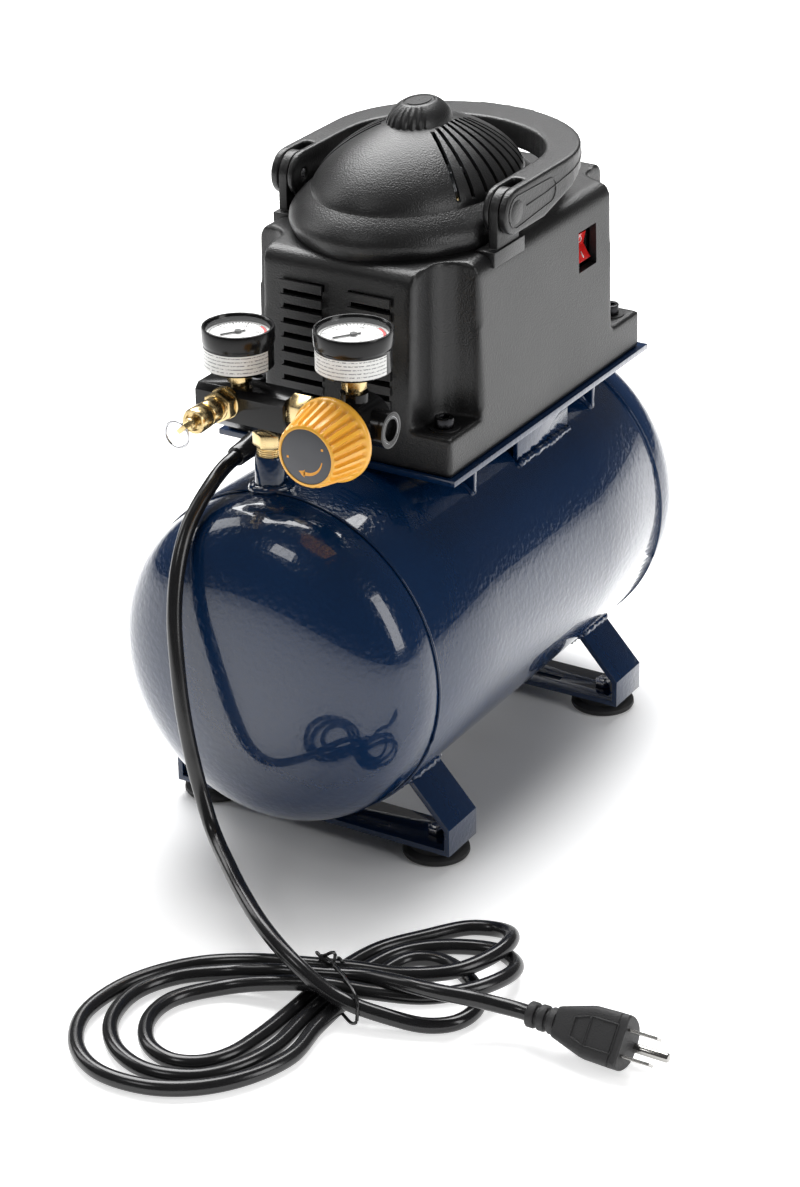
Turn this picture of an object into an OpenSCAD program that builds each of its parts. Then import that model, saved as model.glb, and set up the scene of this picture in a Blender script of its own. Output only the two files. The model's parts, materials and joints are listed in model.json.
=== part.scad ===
// Small oil-free air compressor: tank on strap feet, pump under a black shroud,
// manifold with two gauges, regulator and relief valve, and a tied mains lead.
// +Z up, tank axis along Y, gauges at the front (-Y), switch on the right (+X).

/* [Tank] */
// Outside radius of the tank shell
tank_r = 90; // [84:1:96]
// Distance between the two head seams
shell_len = 250; // [240:2:262]
// Depth of each domed head beyond its seam
head_depth = 49; // [46:1:52]
// Height of the tank axis above the floor
tank_z = 114; // [112:1:118]
// Thickness of the tank's steel
tank_wall = 2.5; // [2:0.5:3]

/* [Feet] */
// Width of a foot strap along the tank
strap_w = 29; // [24:1:32]
// Thickness of a foot strap
strap_t = 3; // [2.5:0.5:4]
// Half of the span of a foot strap
strap_half = 85; // [82:1:87]
// Radius of a rubber foot
pad_r = 18; // [15:0.5:18]

/* [Shroud] */
// Half of the shroud's width at its base
shroud_hw = 68; // [66:1:68]
// Half of the shroud's length at its base
shroud_hl = 106; // [104:1:107]
// Wall thickness of the shroud
shroud_wall = 2.5; // [2:0.5:3]
// Width of an air slot in the dome
dome_slot = 2.6; // [2:0.2:3]

/* [Handle] */
// Half of the handle's outside width
handle_hw = 70; // [69:0.5:71]
// How far the handle reaches behind its pivot
handle_reach = 120; // [118:1:122]

/* [Fittings] */
// Rim radius of the tank pressure gauge
tank_gauge_r = 18.4; // [17:0.2:19]
// Rim radius of the outlet pressure gauge
outlet_gauge_r = 20; // [18:0.2:21]
// Largest radius of the regulator knob
knob_r = 21.8; // [20:0.2:22]
// Radius of the mains lead
cord_r = 4; // [3.5:0.1:4.2]

/* [Hidden] */

navy = "#14243f";
black = "#1c1c1e";
brass = "#c9a04e";
steel = "#a9abb0";
cast = "#8f9296";

head_power = 2.68;          // fullness of the heads' curve
head_lip = 0.8;             // the head is this much smaller than the shell
seam = shell_len / 2;
plate_t = 3;
plate_z = tank_z + tank_r;  // underside of the saddle plate
base_z = plate_z + plate_t; // the shroud and the pump stand here
plate_hw = 71;
plate_y0 = -77;
plate_y1 = 141;
pad_h = 8;
front_foot_y = -93.5;
rear_foot_y = 98.5;
pad_x = 69;
shroud_y = 31;              // centre of the shroud along Y
crease_z = 304;
top_z = 311;
notch_z = 228;
notch_x = 23;
notch_y = 33;
screw_x = 56;
screw_dy = 92;
dome_y = 11;
dome_a = 50.5;
dome_b = 68.5;
ring_a = 62;
ring_b = 80.5;
dome_z = 331;
dome_h = 34;
pivot_y = -11;
pivot_z = 330;
arm_r = 12;
arm_t = 14;
post_x = 60;                // inside face of a handle post
post_t = 5;
gap = 0.3;
mani_y = -118;
mani_x0 = -50;
mani_x1 = 2;
mani_z0 = 233;
mani_z1 = 255;
line_z = 248;               // axis of the nipple, the regulator and the outlet
bung_x = -12.5;
reg_x = 39.5;
outlet_x = 58.5;
outlet_r = 5.7;
outlet_depth = 14;
g1_x = -29.6;
g2_x = 37.8;
relief_x = -32;
ring_r = 6.8;
ring_hole = 36.3;
crank_z = 250;
throw = 7;
shaft_r = 5;
big_end_r = 14;
cyl_r = 21;
rod_len = 32;

// ---------------------------------------------------------------- shapes

// A closed loft of ellipses: each section is [z, a, b]
module loft(sections, cy = 0, n = 48) {
    pts = [for (s = sections) for (i = [0:n - 1])
        [s[1] * cos(360 * i / n), cy + s[2] * sin(360 * i / n), s[0]]];
    m = len(sections);
    sides = [for (k = [0:m - 2]) for (i = [0:n - 1])
        [k * n + i, (k + 1) * n + i, (k + 1) * n + (i + 1) % n, k * n + (i + 1) % n]];
    bottom = [for (i = [0:n - 1]) i];
    top = [for (i = [n - 1:-1:0]) (m - 1) * n + i];
    polyhedron(pts, concat([bottom], sides, [top]));
}

function unit(v) = v / norm(v);
function tangent(p, i) =
    i == 0 ? unit(p[1] - p[0]) :
    i == len(p) - 1 ? unit(p[i] - p[i - 1]) : unit(p[i + 1] - p[i - 1]);

// A round tube swept along a route; ref is never parallel to the route
module tube(route, r, ref, n = 10) {
    pts = [for (i = [0:len(route) - 1]) let (t = tangent(route, i),
        u = unit(cross(t, ref)), v = cross(t, u)) for (k = [0:n - 1])
        route[i] + r * (u * cos(360 * k / n) + v * sin(360 * k / n))];
    m = len(route);
    sides = [for (i = [0:m - 2]) for (k = [0:n - 1])
        [i * n + k, (i + 1) * n + k, (i + 1) * n + (k + 1) % n, i * n + (k + 1) % n]];
    first = [for (k = [0:n - 1]) k];
    last = [for (k = [n - 1:-1:0]) (m - 1) * n + k];
    polyhedron(pts, concat([first], sides, [last]));
}

module along_y() { rotate([-90, 0, 0]) children(); }
module along_x() { rotate([0, 90, 0]) children(); }
module both_sides() { children(); mirror([1, 0, 0]) children(); }

module tank_volume(extra = 0) {
    translate([0, -200, tank_z]) along_y() cylinder(r = tank_r + extra, h = 400, $fn = 96);
}

// Profile of a head: r from the axis, y beyond the seam
function head_arc(r, h, n = 14) = [for (i = [0:n]) let (t = 90 * i / n)
    [r * pow(cos(t), 2 / head_power), h * pow(sin(t), 2 / head_power)]];

module head() {
    r_out = tank_r - head_lip;
    r_in = tank_r - tank_wall;
    arc_in = head_arc(r_in - tank_wall, head_depth - tank_wall);
    rotate_extrude($fn = 96) polygon(concat(
        [[r_in - tank_wall, -12], [r_in, -12], [r_in, 0]],
        head_arc(r_out, head_depth),
        [for (i = [len(arc_in) - 1:-1:0]) arc_in[i]]));
}

// ---------------------------------------------------------------- tank

module tank_shell() {
    color(navy) difference() {
        translate([0, -seam, tank_z]) along_y() cylinder(r = tank_r, h = shell_len, $fn = 96);
        translate([0, -seam - 1, tank_z]) along_y()
            cylinder(r = tank_r - tank_wall, h = shell_len + 2, $fn = 96);
        translate([bung_x, mani_y, tank_z]) cylinder(r = 5, h = 100, $fn = 24);
        translate([0, 20, 0]) cylinder(r = 5, h = 60, $fn = 24);
        translate([36, -46, tank_z]) cylinder(r = 6, h = 100, $fn = 24);
    }
}

module tank_head_front() {
    color(navy) translate([0, -seam, tank_z]) rotate([90, 0, 0]) head();
}

module tank_head_rear() {
    color(navy) translate([0, seam, tank_z]) rotate([-90, 0, 0]) head();
}

module outlet_bung() {
    color(navy) difference() {
        translate([bung_x, mani_y, tank_z + 60]) cylinder(r = 8, h = 47, $fn = 32);
        tank_volume();
        translate([bung_x, mani_y, tank_z]) cylinder(r = 5, h = 120, $fn = 24);
    }
}

module drain_bung() {
    color(navy) difference() {
        translate([0, 20, 18]) cylinder(r = 9, h = 20, $fn = 32);
        tank_volume();
        translate([0, 20, 10]) cylinder(r = 5, h = 60, $fn = 24);
    }
}

module drain_valve_body() {
    color(brass) difference() {
        union() {
            translate([0, 20, 13]) cylinder(r = 6.5, h = 5, $fn = 6);
            translate([0, 20, 18]) cylinder(r = 5, h = 12, $fn = 24);
        }
        translate([0, 20, 10]) cylinder(r = 2.55, h = 30, $fn = 24);
    }
}

module drain_screw() {
    color(brass) translate([0, 20, 0]) {
        translate([0, 0, 9]) cylinder(r = 2.5, h = 14, $fn = 24);
        translate([-8, -1.5, 6]) cube([16, 3, 6]);
    }
}

// ---------------------------------------------------------------- feet

module strap_half_outline() {
    polygon([[0, pad_h], [strap_half, pad_h], [strap_half, 23.5], [56, 55.2],
        [53.8, 53.2], [strap_half - strap_t, 22.3], [strap_half - strap_t, pad_h + strap_t],
        [0, pad_h + strap_t]]);
}

module foot_bracket(y) {
    color(navy) difference() {
        translate([0, y + strap_w / 2, 0]) rotate([90, 0, 0]) linear_extrude(strap_w) {
            strap_half_outline();
            mirror([1, 0]) strap_half_outline();
        }
        tank_volume();
        both_sides() translate([pad_x, y, 0]) cylinder(r = 2.7, h = 20, $fn = 24);
        both_sides() translate([22, y - 6, 0]) cube([22, 4, 20]);
    }
}

module foot_bracket_front() { foot_bracket(front_foot_y); }
module foot_bracket_rear() { foot_bracket(rear_foot_y); }

module at_feet() {
    for (y = [front_foot_y, rear_foot_y]) both_sides() translate([pad_x, y, 0]) children();
}

module rubber_feet() {
    color(black) at_feet() difference() {
        union() {
            cylinder(r = pad_r, h = 4, $fn = 48);
            translate([0, 0, 4]) cylinder(r1 = pad_r - 1, r2 = pad_r - 5, h = pad_h - 4, $fn = 48);
        }
        translate([0, 0, -1]) cylinder(r = 6, h = 4, $fn = 32);
        cylinder(r = 2.6, h = 20, $fn = 24);
    }
}

module foot_screws() {
    color(steel) at_feet() {
        translate([0, 0, 1]) cylinder(r = 4.5, h = 2, $fn = 24);
        translate([0, 0, 3]) cylinder(r = 2.5, h = 13.5, $fn = 24);
        translate([0, 0, pad_h + strap_t]) difference() {
            cylinder(r = 4.6, h = 4, $fn = 6);
            translate([0, 0, -1]) cylinder(r = 2.5, h = 6, $fn = 24);
        }
    }
}

// ---------------------------------------------------------------- saddle

module at_shroud_screws() {
    for (s = [-1, 1]) both_sides() translate([screw_x, shroud_y + s * screw_dy, 0]) children();
}

module saddle_plate() {
    color(navy) difference() {
        translate([-plate_hw, plate_y0, plate_z]) cube([2 * plate_hw, plate_y1 - plate_y0, plate_t]);
        at_shroud_screws() translate([0, 0, 190]) cylinder(r = 3.1, h = 40, $fn = 24);
        translate([36, -46, 190]) cylinder(r = 9, h = 30, $fn = 32);
        for (y = [12, 95]) translate([-30, y, 190]) cylinder(r = 2.6, h = 30, $fn = 24);
        for (y = [12, 95]) translate([30, y, 190]) cylinder(r = 2.6, h = 30, $fn = 24);
    }
}

module saddle_brackets() {
    color(navy) difference() {
        both_sides() {
            translate([56.5, 11, plate_z - 30]) cube([3, 57, 30]);
            translate([30, 97, plate_z - 30]) cube([29.5, 3, 30]);
            translate([30, -36, plate_z - 30]) cube([29.5, 3, 30]);
        }
        tank_volume();
    }
}

// ---------------------------------------------------------------- shroud

// Half profile of the shroud, drafted to the crease and rounded to the flat top
function drafted(w, d) = [[w + d, base_z], [w + d - 3, crease_z], [w + d - 4.2, crease_z + 3.4 + d / 3],
    [w + d - 6.6, crease_z + 5.8 + d / 1.5], [w + d - 10, top_z + d]];

module profile(w, d) {
    r = drafted(w, d);
    polygon(concat([for (p = r) p], [for (i = [len(r) - 1:-1:0]) [-r[i][0], r[i][1]]]));
}

// Plan of one corner notch, grown by d
module notch_plan(d) {
    polygon([[shroud_hw + 9, shroud_hl - notch_y - d], [shroud_hw - 6, shroud_hl - notch_y - d],
        [shroud_hw - notch_x + 5 - d, shroud_hl - notch_y + 4 - d],
        [shroud_hw - notch_x - d, shroud_hl - notch_y + 12], [shroud_hw - notch_x - d, shroud_hl - 4],
        [shroud_hw - notch_x - 3 - d, shroud_hl], [shroud_hw - notch_x - 3 - d, shroud_hl + 9],
        [shroud_hw + 9, shroud_hl + 9]]);
}

// The shroud's outside (d = 0) or its hollow (d < 0)
module shroud_solid(d = 0) {
    translate([0, shroud_y, 0]) difference() {
        intersection() {
            translate([0, 200, 0]) rotate([90, 0, 0]) linear_extrude(400) profile(shroud_hw, d);
            translate([-200, 0, 0]) rotate([90, 0, 90]) linear_extrude(400) profile(shroud_hl, d);
        }
        both_sides() translate([0, 0, notch_z + d]) linear_extrude(120) notch_plan(-d);
        mirror([0, 1, 0]) both_sides() translate([0, 0, notch_z + d]) linear_extrude(120)
            notch_plan(-d);
    }
}

module shroud() {
    color(black) difference() {
        shroud_solid();
        translate([0, 0, -0.01]) shroud_solid(-shroud_wall);
        translate([0, 0, top_z - 10]) linear_extrude(20) polygon(ellipse([0, dome_y], 52, 72, 0));
        for (k = [0:7]) for (s = [-1, 1])
            translate([s * 20 - 11.5, -90, 234 + 7.8 * k]) cube([23, 40, 2.6]);
        for (s = [-1, 1]) translate([s * 12 - 4, -90, 293.5]) cube([8, 40, 3]);
        translate([40, 66, 271.5]) cube([40, 20, 22.5]);
        at_shroud_screws() translate([0, 0, 200]) cylinder(r = 3.1, h = 60, $fn = 24);
        translate([-37, -60, 215.4]) rotate([94, 0, 0]) cylinder(r = 7.1, h = 40, $fn = 32);
        pedestals();
    }
}

function dome_curve(a, b, z0, h, n = 8) = [for (i = [0:n]) let (q = cos(88 * i / n),
    z = z0 + h * pow(1 - pow(q, 1.57), 1 / 1.57)) [z, a * q, b * q]];

// The dome with its bulging ring, from the shroud's top up; d < 0 gives the hollow
module dome_volume(d, n) {
    z0 = d < 0 ? top_z - 1 : top_z;
    loft(concat([[z0, ring_a - 3.5 + d, ring_b - 2 + d], [top_z + 6, ring_a + d, ring_b + d],
        [top_z + 12, ring_a - 2.5 + d, ring_b - 2.5 + d],
        [top_z + 17, ring_a - 6.5 + d, ring_b - 7 + d]],
        dome_curve(dome_a + d, dome_b + d, dome_z, dome_h + d)), dome_y, n);
}

module dome_cover() {
    color(black) difference() {
        dome_volume(0, 64);
        difference() {
            dome_volume(-shroud_wall, 40);
            both_sides() translate([52, -30, top_z - 5]) cube([30, 160, 40]);
        }
        both_sides() translate([54.7, -26, top_z - 1]) cube([30, 150, 40]);
        for (s = [-1, 1]) for (k = [0:8]) translate([s * 15, dome_y - 12 + 4.6 * k, 0])
            rotate([0, 0, s * (-38 + 9.5 * k) + (s < 0 ? 180 : 0)])
                translate([0, -dome_slot / 2, dome_z + 3]) cube([60, dome_slot, 40]);
    }
}

module dome_cap() {
    color(black) difference() {
        loft([[dome_z + dome_h - 5, 15.5, 21], [dome_z + dome_h - 1, 15, 20.5],
            [dome_z + dome_h + 3, 12.5, 17], [dome_z + dome_h + 6, 9, 12.5],
            [dome_z + dome_h + 7, 7, 10]], dome_y + 1, 40);
        translate([0, 0, -0.01])
            loft(dome_curve(dome_a, dome_b, dome_z, dome_h), dome_y, 64);
        translate([0, 0, dome_z + dome_h - 6]) loft([[0, 12, 17], [8, 9, 13]], dome_y + 1, 32);
    }
}

// ---------------------------------------------------------------- handle

// Half outlines of the handle seen from above, from the pivot round the back
function arc_pts(a, yc, b, n = 24) = [for (i = [0:n]) [a * cos(180 * i / n), yc + b * sin(180 * i / n)]];

module handle_plan() {
    difference() {
        polygon(concat([[handle_hw, pivot_y - arm_r]],
            arc_pts(handle_hw, 43, handle_reach + pivot_y - 43), [[-handle_hw, pivot_y - arm_r]]));
        polygon(concat([[handle_hw - arm_t, pivot_y - arm_r - 1]],
            arc_pts(handle_hw - arm_t, 33, 52), [[arm_t - handle_hw, pivot_y - arm_r - 1]]));
    }
}

module handle_side() {
    translate([pivot_y, pivot_z]) circle(r = arm_r, $fn = 48);
    polygon([[pivot_y, pivot_z - arm_r], [pivot_y + 30, pivot_z - arm_r], [62, 328.5],
        [handle_reach, 330], [handle_reach, pivot_z + arm_r + 1], [pivot_y, pivot_z + arm_r]]);
}

module pivots() { translate([0, pivot_y, pivot_z]) children(); }

module handle() {
    color(black) difference() {
        intersection() {
            translate([0, 0, 300]) linear_extrude(60) handle_plan();
            translate([-90, 0, 0]) rotate([90, 0, 90]) linear_extrude(180) handle_side();
        }
        both_sides() translate([post_x - gap, -40, 300]) cube([post_t + 2 * gap, 45, 60]);
        pivots() translate([-80, 0, 0]) along_x() cylinder(r = 2.5, h = 160, $fn = 32);
    }
}

module pedestals() {
    both_sides() translate([55, pivot_y - 16, top_z - 7]) cube([11, 32, 8.2]);
}

module handle_posts() {
    color(black) difference() {
        union() {
            pedestals();
            both_sides() translate([post_x, 0, 0]) rotate([90, 0, 90]) linear_extrude(post_t) {
                translate([pivot_y, pivot_z]) circle(r = arm_r - 0.5, $fn = 48);
                translate([pivot_y - arm_r + 0.5, top_z]) square([2 * arm_r - 1, pivot_z - top_z]);
            }
        }
        pivots() translate([-80, 0, 0]) along_x() cylinder(r = 2.55, h = 160, $fn = 32);
    }
}

module handle_pins() {
    color(steel) both_sides() pivots() translate([57, 0, 0]) along_x()
        cylinder(r = 2.5, h = 12, $fn = 32);
}

// ---------------------------------------------------------------- screws and switch

module shroud_screws() {
    color(black) at_shroud_screws() {
        difference() {
            translate([0, 0, notch_z]) cylinder(r = 5, h = 6, $fn = 32);
            translate([0, 0, notch_z + 3]) cylinder(r = 2.9, h = 4, $fn = 6);
        }
        translate([0, 0, plate_z - 5]) cylinder(r = 3, h = notch_z - plate_z + 5, $fn = 24);
    }
}

module switch_pivot(r, y0, y1) {
    translate([57.5, y0, 282.75]) along_y() cylinder(r = r, h = y1 - y0, $fn = 24);
}

module switch_body() {
    color(black) difference() {
        union() {
            translate([34, 66.5, 272]) cube([26.5, 19, 21.5]);
            for (z = [277, 283, 289]) translate([30, 74, z]) cube([4, 4, 1]);
        }
        translate([48.5, 69, 274]) cube([20, 14, 17.5]);
        switch_pivot(1.35, 67.5, 84.5);
    }
}

module rocker() {
    color("#c01818") {
        translate([57.5, 69.5, 282.75]) along_y() linear_extrude(13)
            polygon([[-4, 5], [3, 7.1], [6.5, 7.1], [2.2, 0], [3.5, -7.1], [0, -7.1], [-4, -5]]);
        switch_pivot(1.3, 68, 84);
    }
}

module strain_relief() {
    color(black) translate([-37, -71, 214.6]) rotate([94, 0, 0]) {
        cylinder(r = 7, h = 8, $fn = 32);
        translate([0, 0, 8]) cylinder(r1 = 6.8, r2 = 5.2, h = 34, $fn = 32);
    }
}

// ---------------------------------------------------------------- manifold and gauges

module manifold() {
    color(black) difference() {
        translate([mani_x0, mani_y, 0]) rotate([90, 0, 90]) linear_extrude(mani_x1 - mani_x0)
            polygon([[-10, mani_z0 + 5], [-5, mani_z0], [6, mani_z0], [11, mani_z0 + 5],
                [11, mani_z1 - 3], [8, mani_z1], [-7, mani_z1], [-10, mani_z1 - 3]]);
        translate([mani_x0 + 6, mani_y, line_z]) along_x() cylinder(r = 4, h = 60, $fn = 24);
        translate([bung_x, mani_y, mani_z0 - 1]) cylinder(r = 4, h = 14, $fn = 24);
        translate([g1_x, mani_y, line_z]) cylinder(r = 4, h = 20, $fn = 24);
        translate([relief_x, mani_y - 20, line_z]) along_y() cylinder(r = 4, h = 20, $fn = 24);
    }
}

module elbow_fitting() {
    color(brass) translate([bung_x, mani_y, 0]) difference() {
        union() {
            translate([0, 0, 215]) cylinder(r = 5, h = 6, $fn = 24);
            translate([0, 0, 221]) cylinder(r = 6.6, h = 3, $fn = 32);
            translate([0, 0, 224]) cylinder(r = 8.2, h = mani_z0 - 224, $fn = 6);
            translate([0, 0, mani_z0]) cylinder(r = 4, h = 8, $fn = 24);
        }
        translate([0, 0, 210]) cylinder(r = 2.5, h = 40, $fn = 24);
    }
}

module manifold_nipple() {
    color(brass) translate([mani_x1, mani_y, line_z]) difference() {
        union() {
            translate([-7, 0, 0]) along_x() cylinder(r = 4, h = 38, $fn = 24);
            translate([0, 0, 0]) along_x() cylinder(r = 8.6, h = 12, $fn = 6);
            translate([12, 0, 0]) along_x() cylinder(r = 6, h = 8.5, $fn = 32);
        }
        translate([-10, 0, 0]) along_x() cylinder(r = 2.5, h = 50, $fn = 24);
    }
}

// Depth of a dial's underside below the gauge's rim
dial_drop = 5;

// Case of a gauge: rim radius r, face height top, body radius rb; stem down to stem_z
module gauge_case(x, top, r, rb, stem_z, flare) {
    translate([x, mani_y, 0]) difference() {
        union() {
            translate([0, 0, top - 22]) cylinder(r = rb, h = 22, $fn = 64);
            translate([0, 0, top - 4]) cylinder(r1 = rb, r2 = r, h = 4, $fn = 64);
        }
        translate([0, 0, top - dial_drop]) cylinder(r = rb - flare, h = 8, $fn = 64);
        translate([0, 0, stem_z]) cylinder(r = 1, h = top - stem_z, $fn = 16);
    }
    translate([x, mani_y, stem_z]) difference() {
        union() {
            cylinder(r = 3.9, h = top - 22 - stem_z, $fn = 24);
            translate([0, 0, 7.5]) cylinder(r = 6.4, h = top - 29.5 - stem_z, $fn = 6);
        }
        translate([0, 0, -1]) cylinder(r = 1, h = 40, $fn = 16);
    }
}

module gauge_dial(x, top, r) {
    translate([x, mani_y, top - dial_drop]) difference() {
        cylinder(r = r, h = 1, $fn = 64);
        translate([0, 0, -1]) cylinder(r = 1.1, h = 4, $fn = 24);
    }
}

module gauge_needle(x, top, r) {
    translate([x, mani_y, top - dial_drop + 1.3]) {
        cylinder(r = 1.8, h = 1, $fn = 24);
        translate([0, 0, -2.5]) cylinder(r = 1, h = 3, $fn = 24);
        rotate([0, 0, 235]) translate([-4, -0.4, 0]) cube([r + 1, 0.8, 0.6]);
    }
}

module gauge_lens(x, top, r) {
    translate([x, mani_y, top - 2.2]) cylinder(r = r, h = 1, $fn = 64);
}

g1_top = 286.6;
g2_top = 297.9;
module tank_gauge() { color(black) gauge_case(g1_x, g1_top, tank_gauge_r, tank_gauge_r - 1, 248, 1.2); }
module tank_gauge_dial() { color("white") gauge_dial(g1_x, g1_top, tank_gauge_r - 2.2); }
module tank_gauge_needle() { color(black) gauge_needle(g1_x, g1_top, tank_gauge_r - 6); }
module tank_gauge_lens() { color([0.8, 0.9, 1, 0.3]) gauge_lens(g1_x, g1_top, tank_gauge_r - 2.2); }
module outlet_gauge() {
    color(black) gauge_case(g2_x, g2_top, outlet_gauge_r, outlet_gauge_r - 1.6, 257, 1.2);
}
module outlet_gauge_dial() { color("white") gauge_dial(g2_x, g2_top, outlet_gauge_r - 2.8); }
module outlet_gauge_needle() { color(black) gauge_needle(g2_x, g2_top, outlet_gauge_r - 6); }
module outlet_gauge_lens() { color([0.8, 0.9, 1, 0.3]) gauge_lens(g2_x, g2_top, outlet_gauge_r - 2.8); }

// ---------------------------------------------------------------- regulator

module regulator_body() {
    color(black) translate([reg_x, mani_y, line_z]) difference() {
        union() {
            translate([0, 11, 0]) rotate([90, 0, 0]) cylinder(r = 13, h = 24, $fn = 48);
            translate([0, -13, 0]) rotate([90, 0, 0]) cylinder(r1 = 15, r2 = 12, h = 9, $fn = 48);
            translate([-17, 0, 0]) along_x() cylinder(r = 8.5, h = 17, $fn = 32);
            along_x() cylinder(r = 9.3, h = outlet_x - reg_x, $fn = 48);
            translate([g2_x - reg_x, 0, 0]) cylinder(r = 7, h = 16.5, $fn = 32);
        }
        translate([outlet_x - reg_x - outlet_depth, 0, 0]) along_x()
            cylinder(r = outlet_r, h = 40, $fn = 48);
        translate([0, 8, 0]) along_x() translate([0, 0, -20]) cylinder(r = 0.8, h = 22, $fn = 16);
        translate([-20, 0, 0]) along_x() cylinder(r = 4, h = 16, $fn = 24);
        translate([g2_x - reg_x, 0, 9]) cylinder(r = 3.9, h = 20, $fn = 24);
        translate([0, -6, 0]) rotate([90, 0, 0]) cylinder(r = 10.5, h = 9, $fn = 48);
        translate([0, -14, 0]) rotate([90, 0, 0]) cylinder(r = 4.6, h = 20, $fn = 32);
    }
}

module regulator_diaphragm() {
    color("#3a3a3a") translate([reg_x, mani_y - 6.2, line_z]) rotate([90, 0, 0])
        cylinder(r = 10.3, h = 1.4, $fn = 48);
}

module regulator_spring() {
    turns = 4;
    color(steel) translate([reg_x, mani_y - 8.6, line_z]) tube([for (i = [0:turns * 12])
        [7.4 * cos(30 * i), -4.8 * i / (turns * 12), 7.4 * sin(30 * i)]], 0.6, [0, 1, 0.01], 8);
}

module regulator_knob() {
    color("#f0a830") translate([reg_x, mani_y - 22.3, line_z]) rotate([90, 0, 0]) difference() {
        union() {
            cylinder(r = knob_r, h = 4, $fn = 64);
            translate([0, 0, 4]) cylinder(r1 = knob_r - 0.8, r2 = knob_r - 5.6, h = 22, $fn = 64);
            translate([0, 0, -8]) cylinder(r = 4.5, h = 10, $fn = 32);
        }
        translate([0, 0, 25]) cylinder(r = 14.2, h = 2, $fn = 64);
        for (k = [0:23]) rotate([0, 0, 15 * k]) translate([knob_r - 1.6, -1.2, 5.5])
            rotate([0, -12.6, 0]) cube([4, 2.4, 18]);
    }
}

module knob_disc() {
    color("#55585c") translate([reg_x, mani_y - 22.3 - 25, line_z]) rotate([90, 0, 0])
        cylinder(r = 14.1, h = 1.2, $fn = 64);
}

// ---------------------------------------------------------------- relief valve

module relief_body() {
    color(brass) translate([relief_x, mani_y - 10, line_z]) rotate([90, 0, 0]) difference() {
        union() {
            translate([0, 0, -6]) cylinder(r = 3.9, h = 6.5, $fn = 24);
            cylinder(r = 7.6, h = 6, $fn = 6);
            translate([0, 0, 6]) cylinder(r = 5.4, h = 16, $fn = 32);
            translate([0, 0, 22]) cylinder(r = 6.2, h = 7, $fn = 32);
        }
        translate([0, 0, -7]) cylinder(r = 2.2, h = 40, $fn = 24);
        for (a = [0, 90]) rotate([0, 0, a]) translate([-10, -1.2, 10]) cube([20, 2.4, 5]);
    }
}

module relief_stem() {
    color(brass) translate([relief_x, mani_y - 10, line_z]) rotate([90, 0, 0]) {
        translate([0, 0, 4]) cylinder(r = 2.1, h = 28, $fn = 24);
        translate([0, 0, 30]) cylinder(r = 3.4, h = 3.5, $fn = 24);
        rotate([0, 0, -45]) difference() {
            translate([-1.2, -3, 33]) cube([2.4, 6, 6.5]);
            translate([-5, 0, ring_hole]) along_x() cylinder(r = 1.1, h = 10, $fn = 24);
        }
    }
}

module pull_ring() {
    color(steel) translate([relief_x - 0.7071 * ring_r, mani_y - 10 - ring_hole,
        line_z - 0.7071 * ring_r]) rotate([90, 0, 0])
        rotate_extrude($fn = 48) translate([ring_r, 0]) circle(r = 0.65, $fn = 16);
}

// ---------------------------------------------------------------- pump and motor

module pump_frame() {
    color(cast) difference() {
        union() {
            translate([-34, 22, base_z]) cube([68, 8, 80]);
            translate([-34, -24, base_z]) cube([68, 54, 5]);
            translate([-32, -28, 282]) cube([64, 58, 6]);
            for (s = [-1, 1]) translate([s * 30 - 2, -20, base_z]) cube([4, 50, 75]);
        }
        translate([0, 0, 270]) cylinder(r = 24.05, h = 30, $fn = 48);
        translate([0, 15, crank_z]) along_y() cylinder(r = 11, h = 20, $fn = 48);
        translate([0, -40, crank_z]) along_y() cylinder(r = 27, h = 62, $fn = 48);
        for (x = [-30, 30]) translate([x, 12, 200]) cylinder(r = 2.6, h = 20, $fn = 24);
    }
}

module cylinder_fins(z0, n, r) {
    for (k = [0:n - 1]) translate([0, 0, z0 + 5 * k]) cylinder(r = r, h = 2.2, $fn = 48);
}

module pump_cylinder() {
    color("#b9bcc0") difference() {
        union() {
            translate([0, 0, 280]) cylinder(r = 24, h = 38, $fn = 48);
            cylinder_fins(288, 6, 29);
        }
        translate([0, 0, 270]) cylinder(r = cyl_r, h = 60, $fn = 64);
    }
}

module valve_plate() {
    color(steel) difference() {
        translate([0, 0, 318]) cylinder(r = 29, h = 3, $fn = 48);
        for (x = [-9, 9]) translate([x, 0, 310]) cylinder(r = 3, h = 20, $fn = 24);
    }
}

module cylinder_head() {
    color(cast) difference() {
        union() {
            translate([0, 0, 321]) cylinder(r = 29, h = 10, $fn = 48);
            for (k = [-2:2]) translate([-22, 9 * k - 1.2, 331]) cube([44, 2.4, 6]);
        }
        for (x = [-12, 12]) translate([x, 0, 320]) cylinder(r = 9, h = 7, $fn = 32);
        translate([15, 0, 325]) along_x() cylinder(r = 3, h = 20, $fn = 24);
    }
}

module piston() {
    color("#c8cacc") difference() {
        translate([0, 0, 292]) cylinder(r = cyl_r - 0.08, h = 15, $fn = 64);
        translate([0, 0, 291]) cylinder(r = cyl_r - 3, h = 12, $fn = 48);
    }
}

module connecting_rod() {
    color(cast) translate([throw, 0, crank_z]) difference() {
        union() {
            translate([0, -4.5, 0]) along_y() cylinder(r = 18, h = 9, $fn = 48);
            translate([-4, -4, 14]) cube([8, 8, rod_len - 14]);
            translate([0, -11, rod_len]) along_y() cylinder(r = 5, h = 22, $fn = 32);
        }
        translate([0, -6, 0]) along_y() cylinder(r = big_end_r + 0.05, h = 12, $fn = 48);
    }
}

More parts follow.
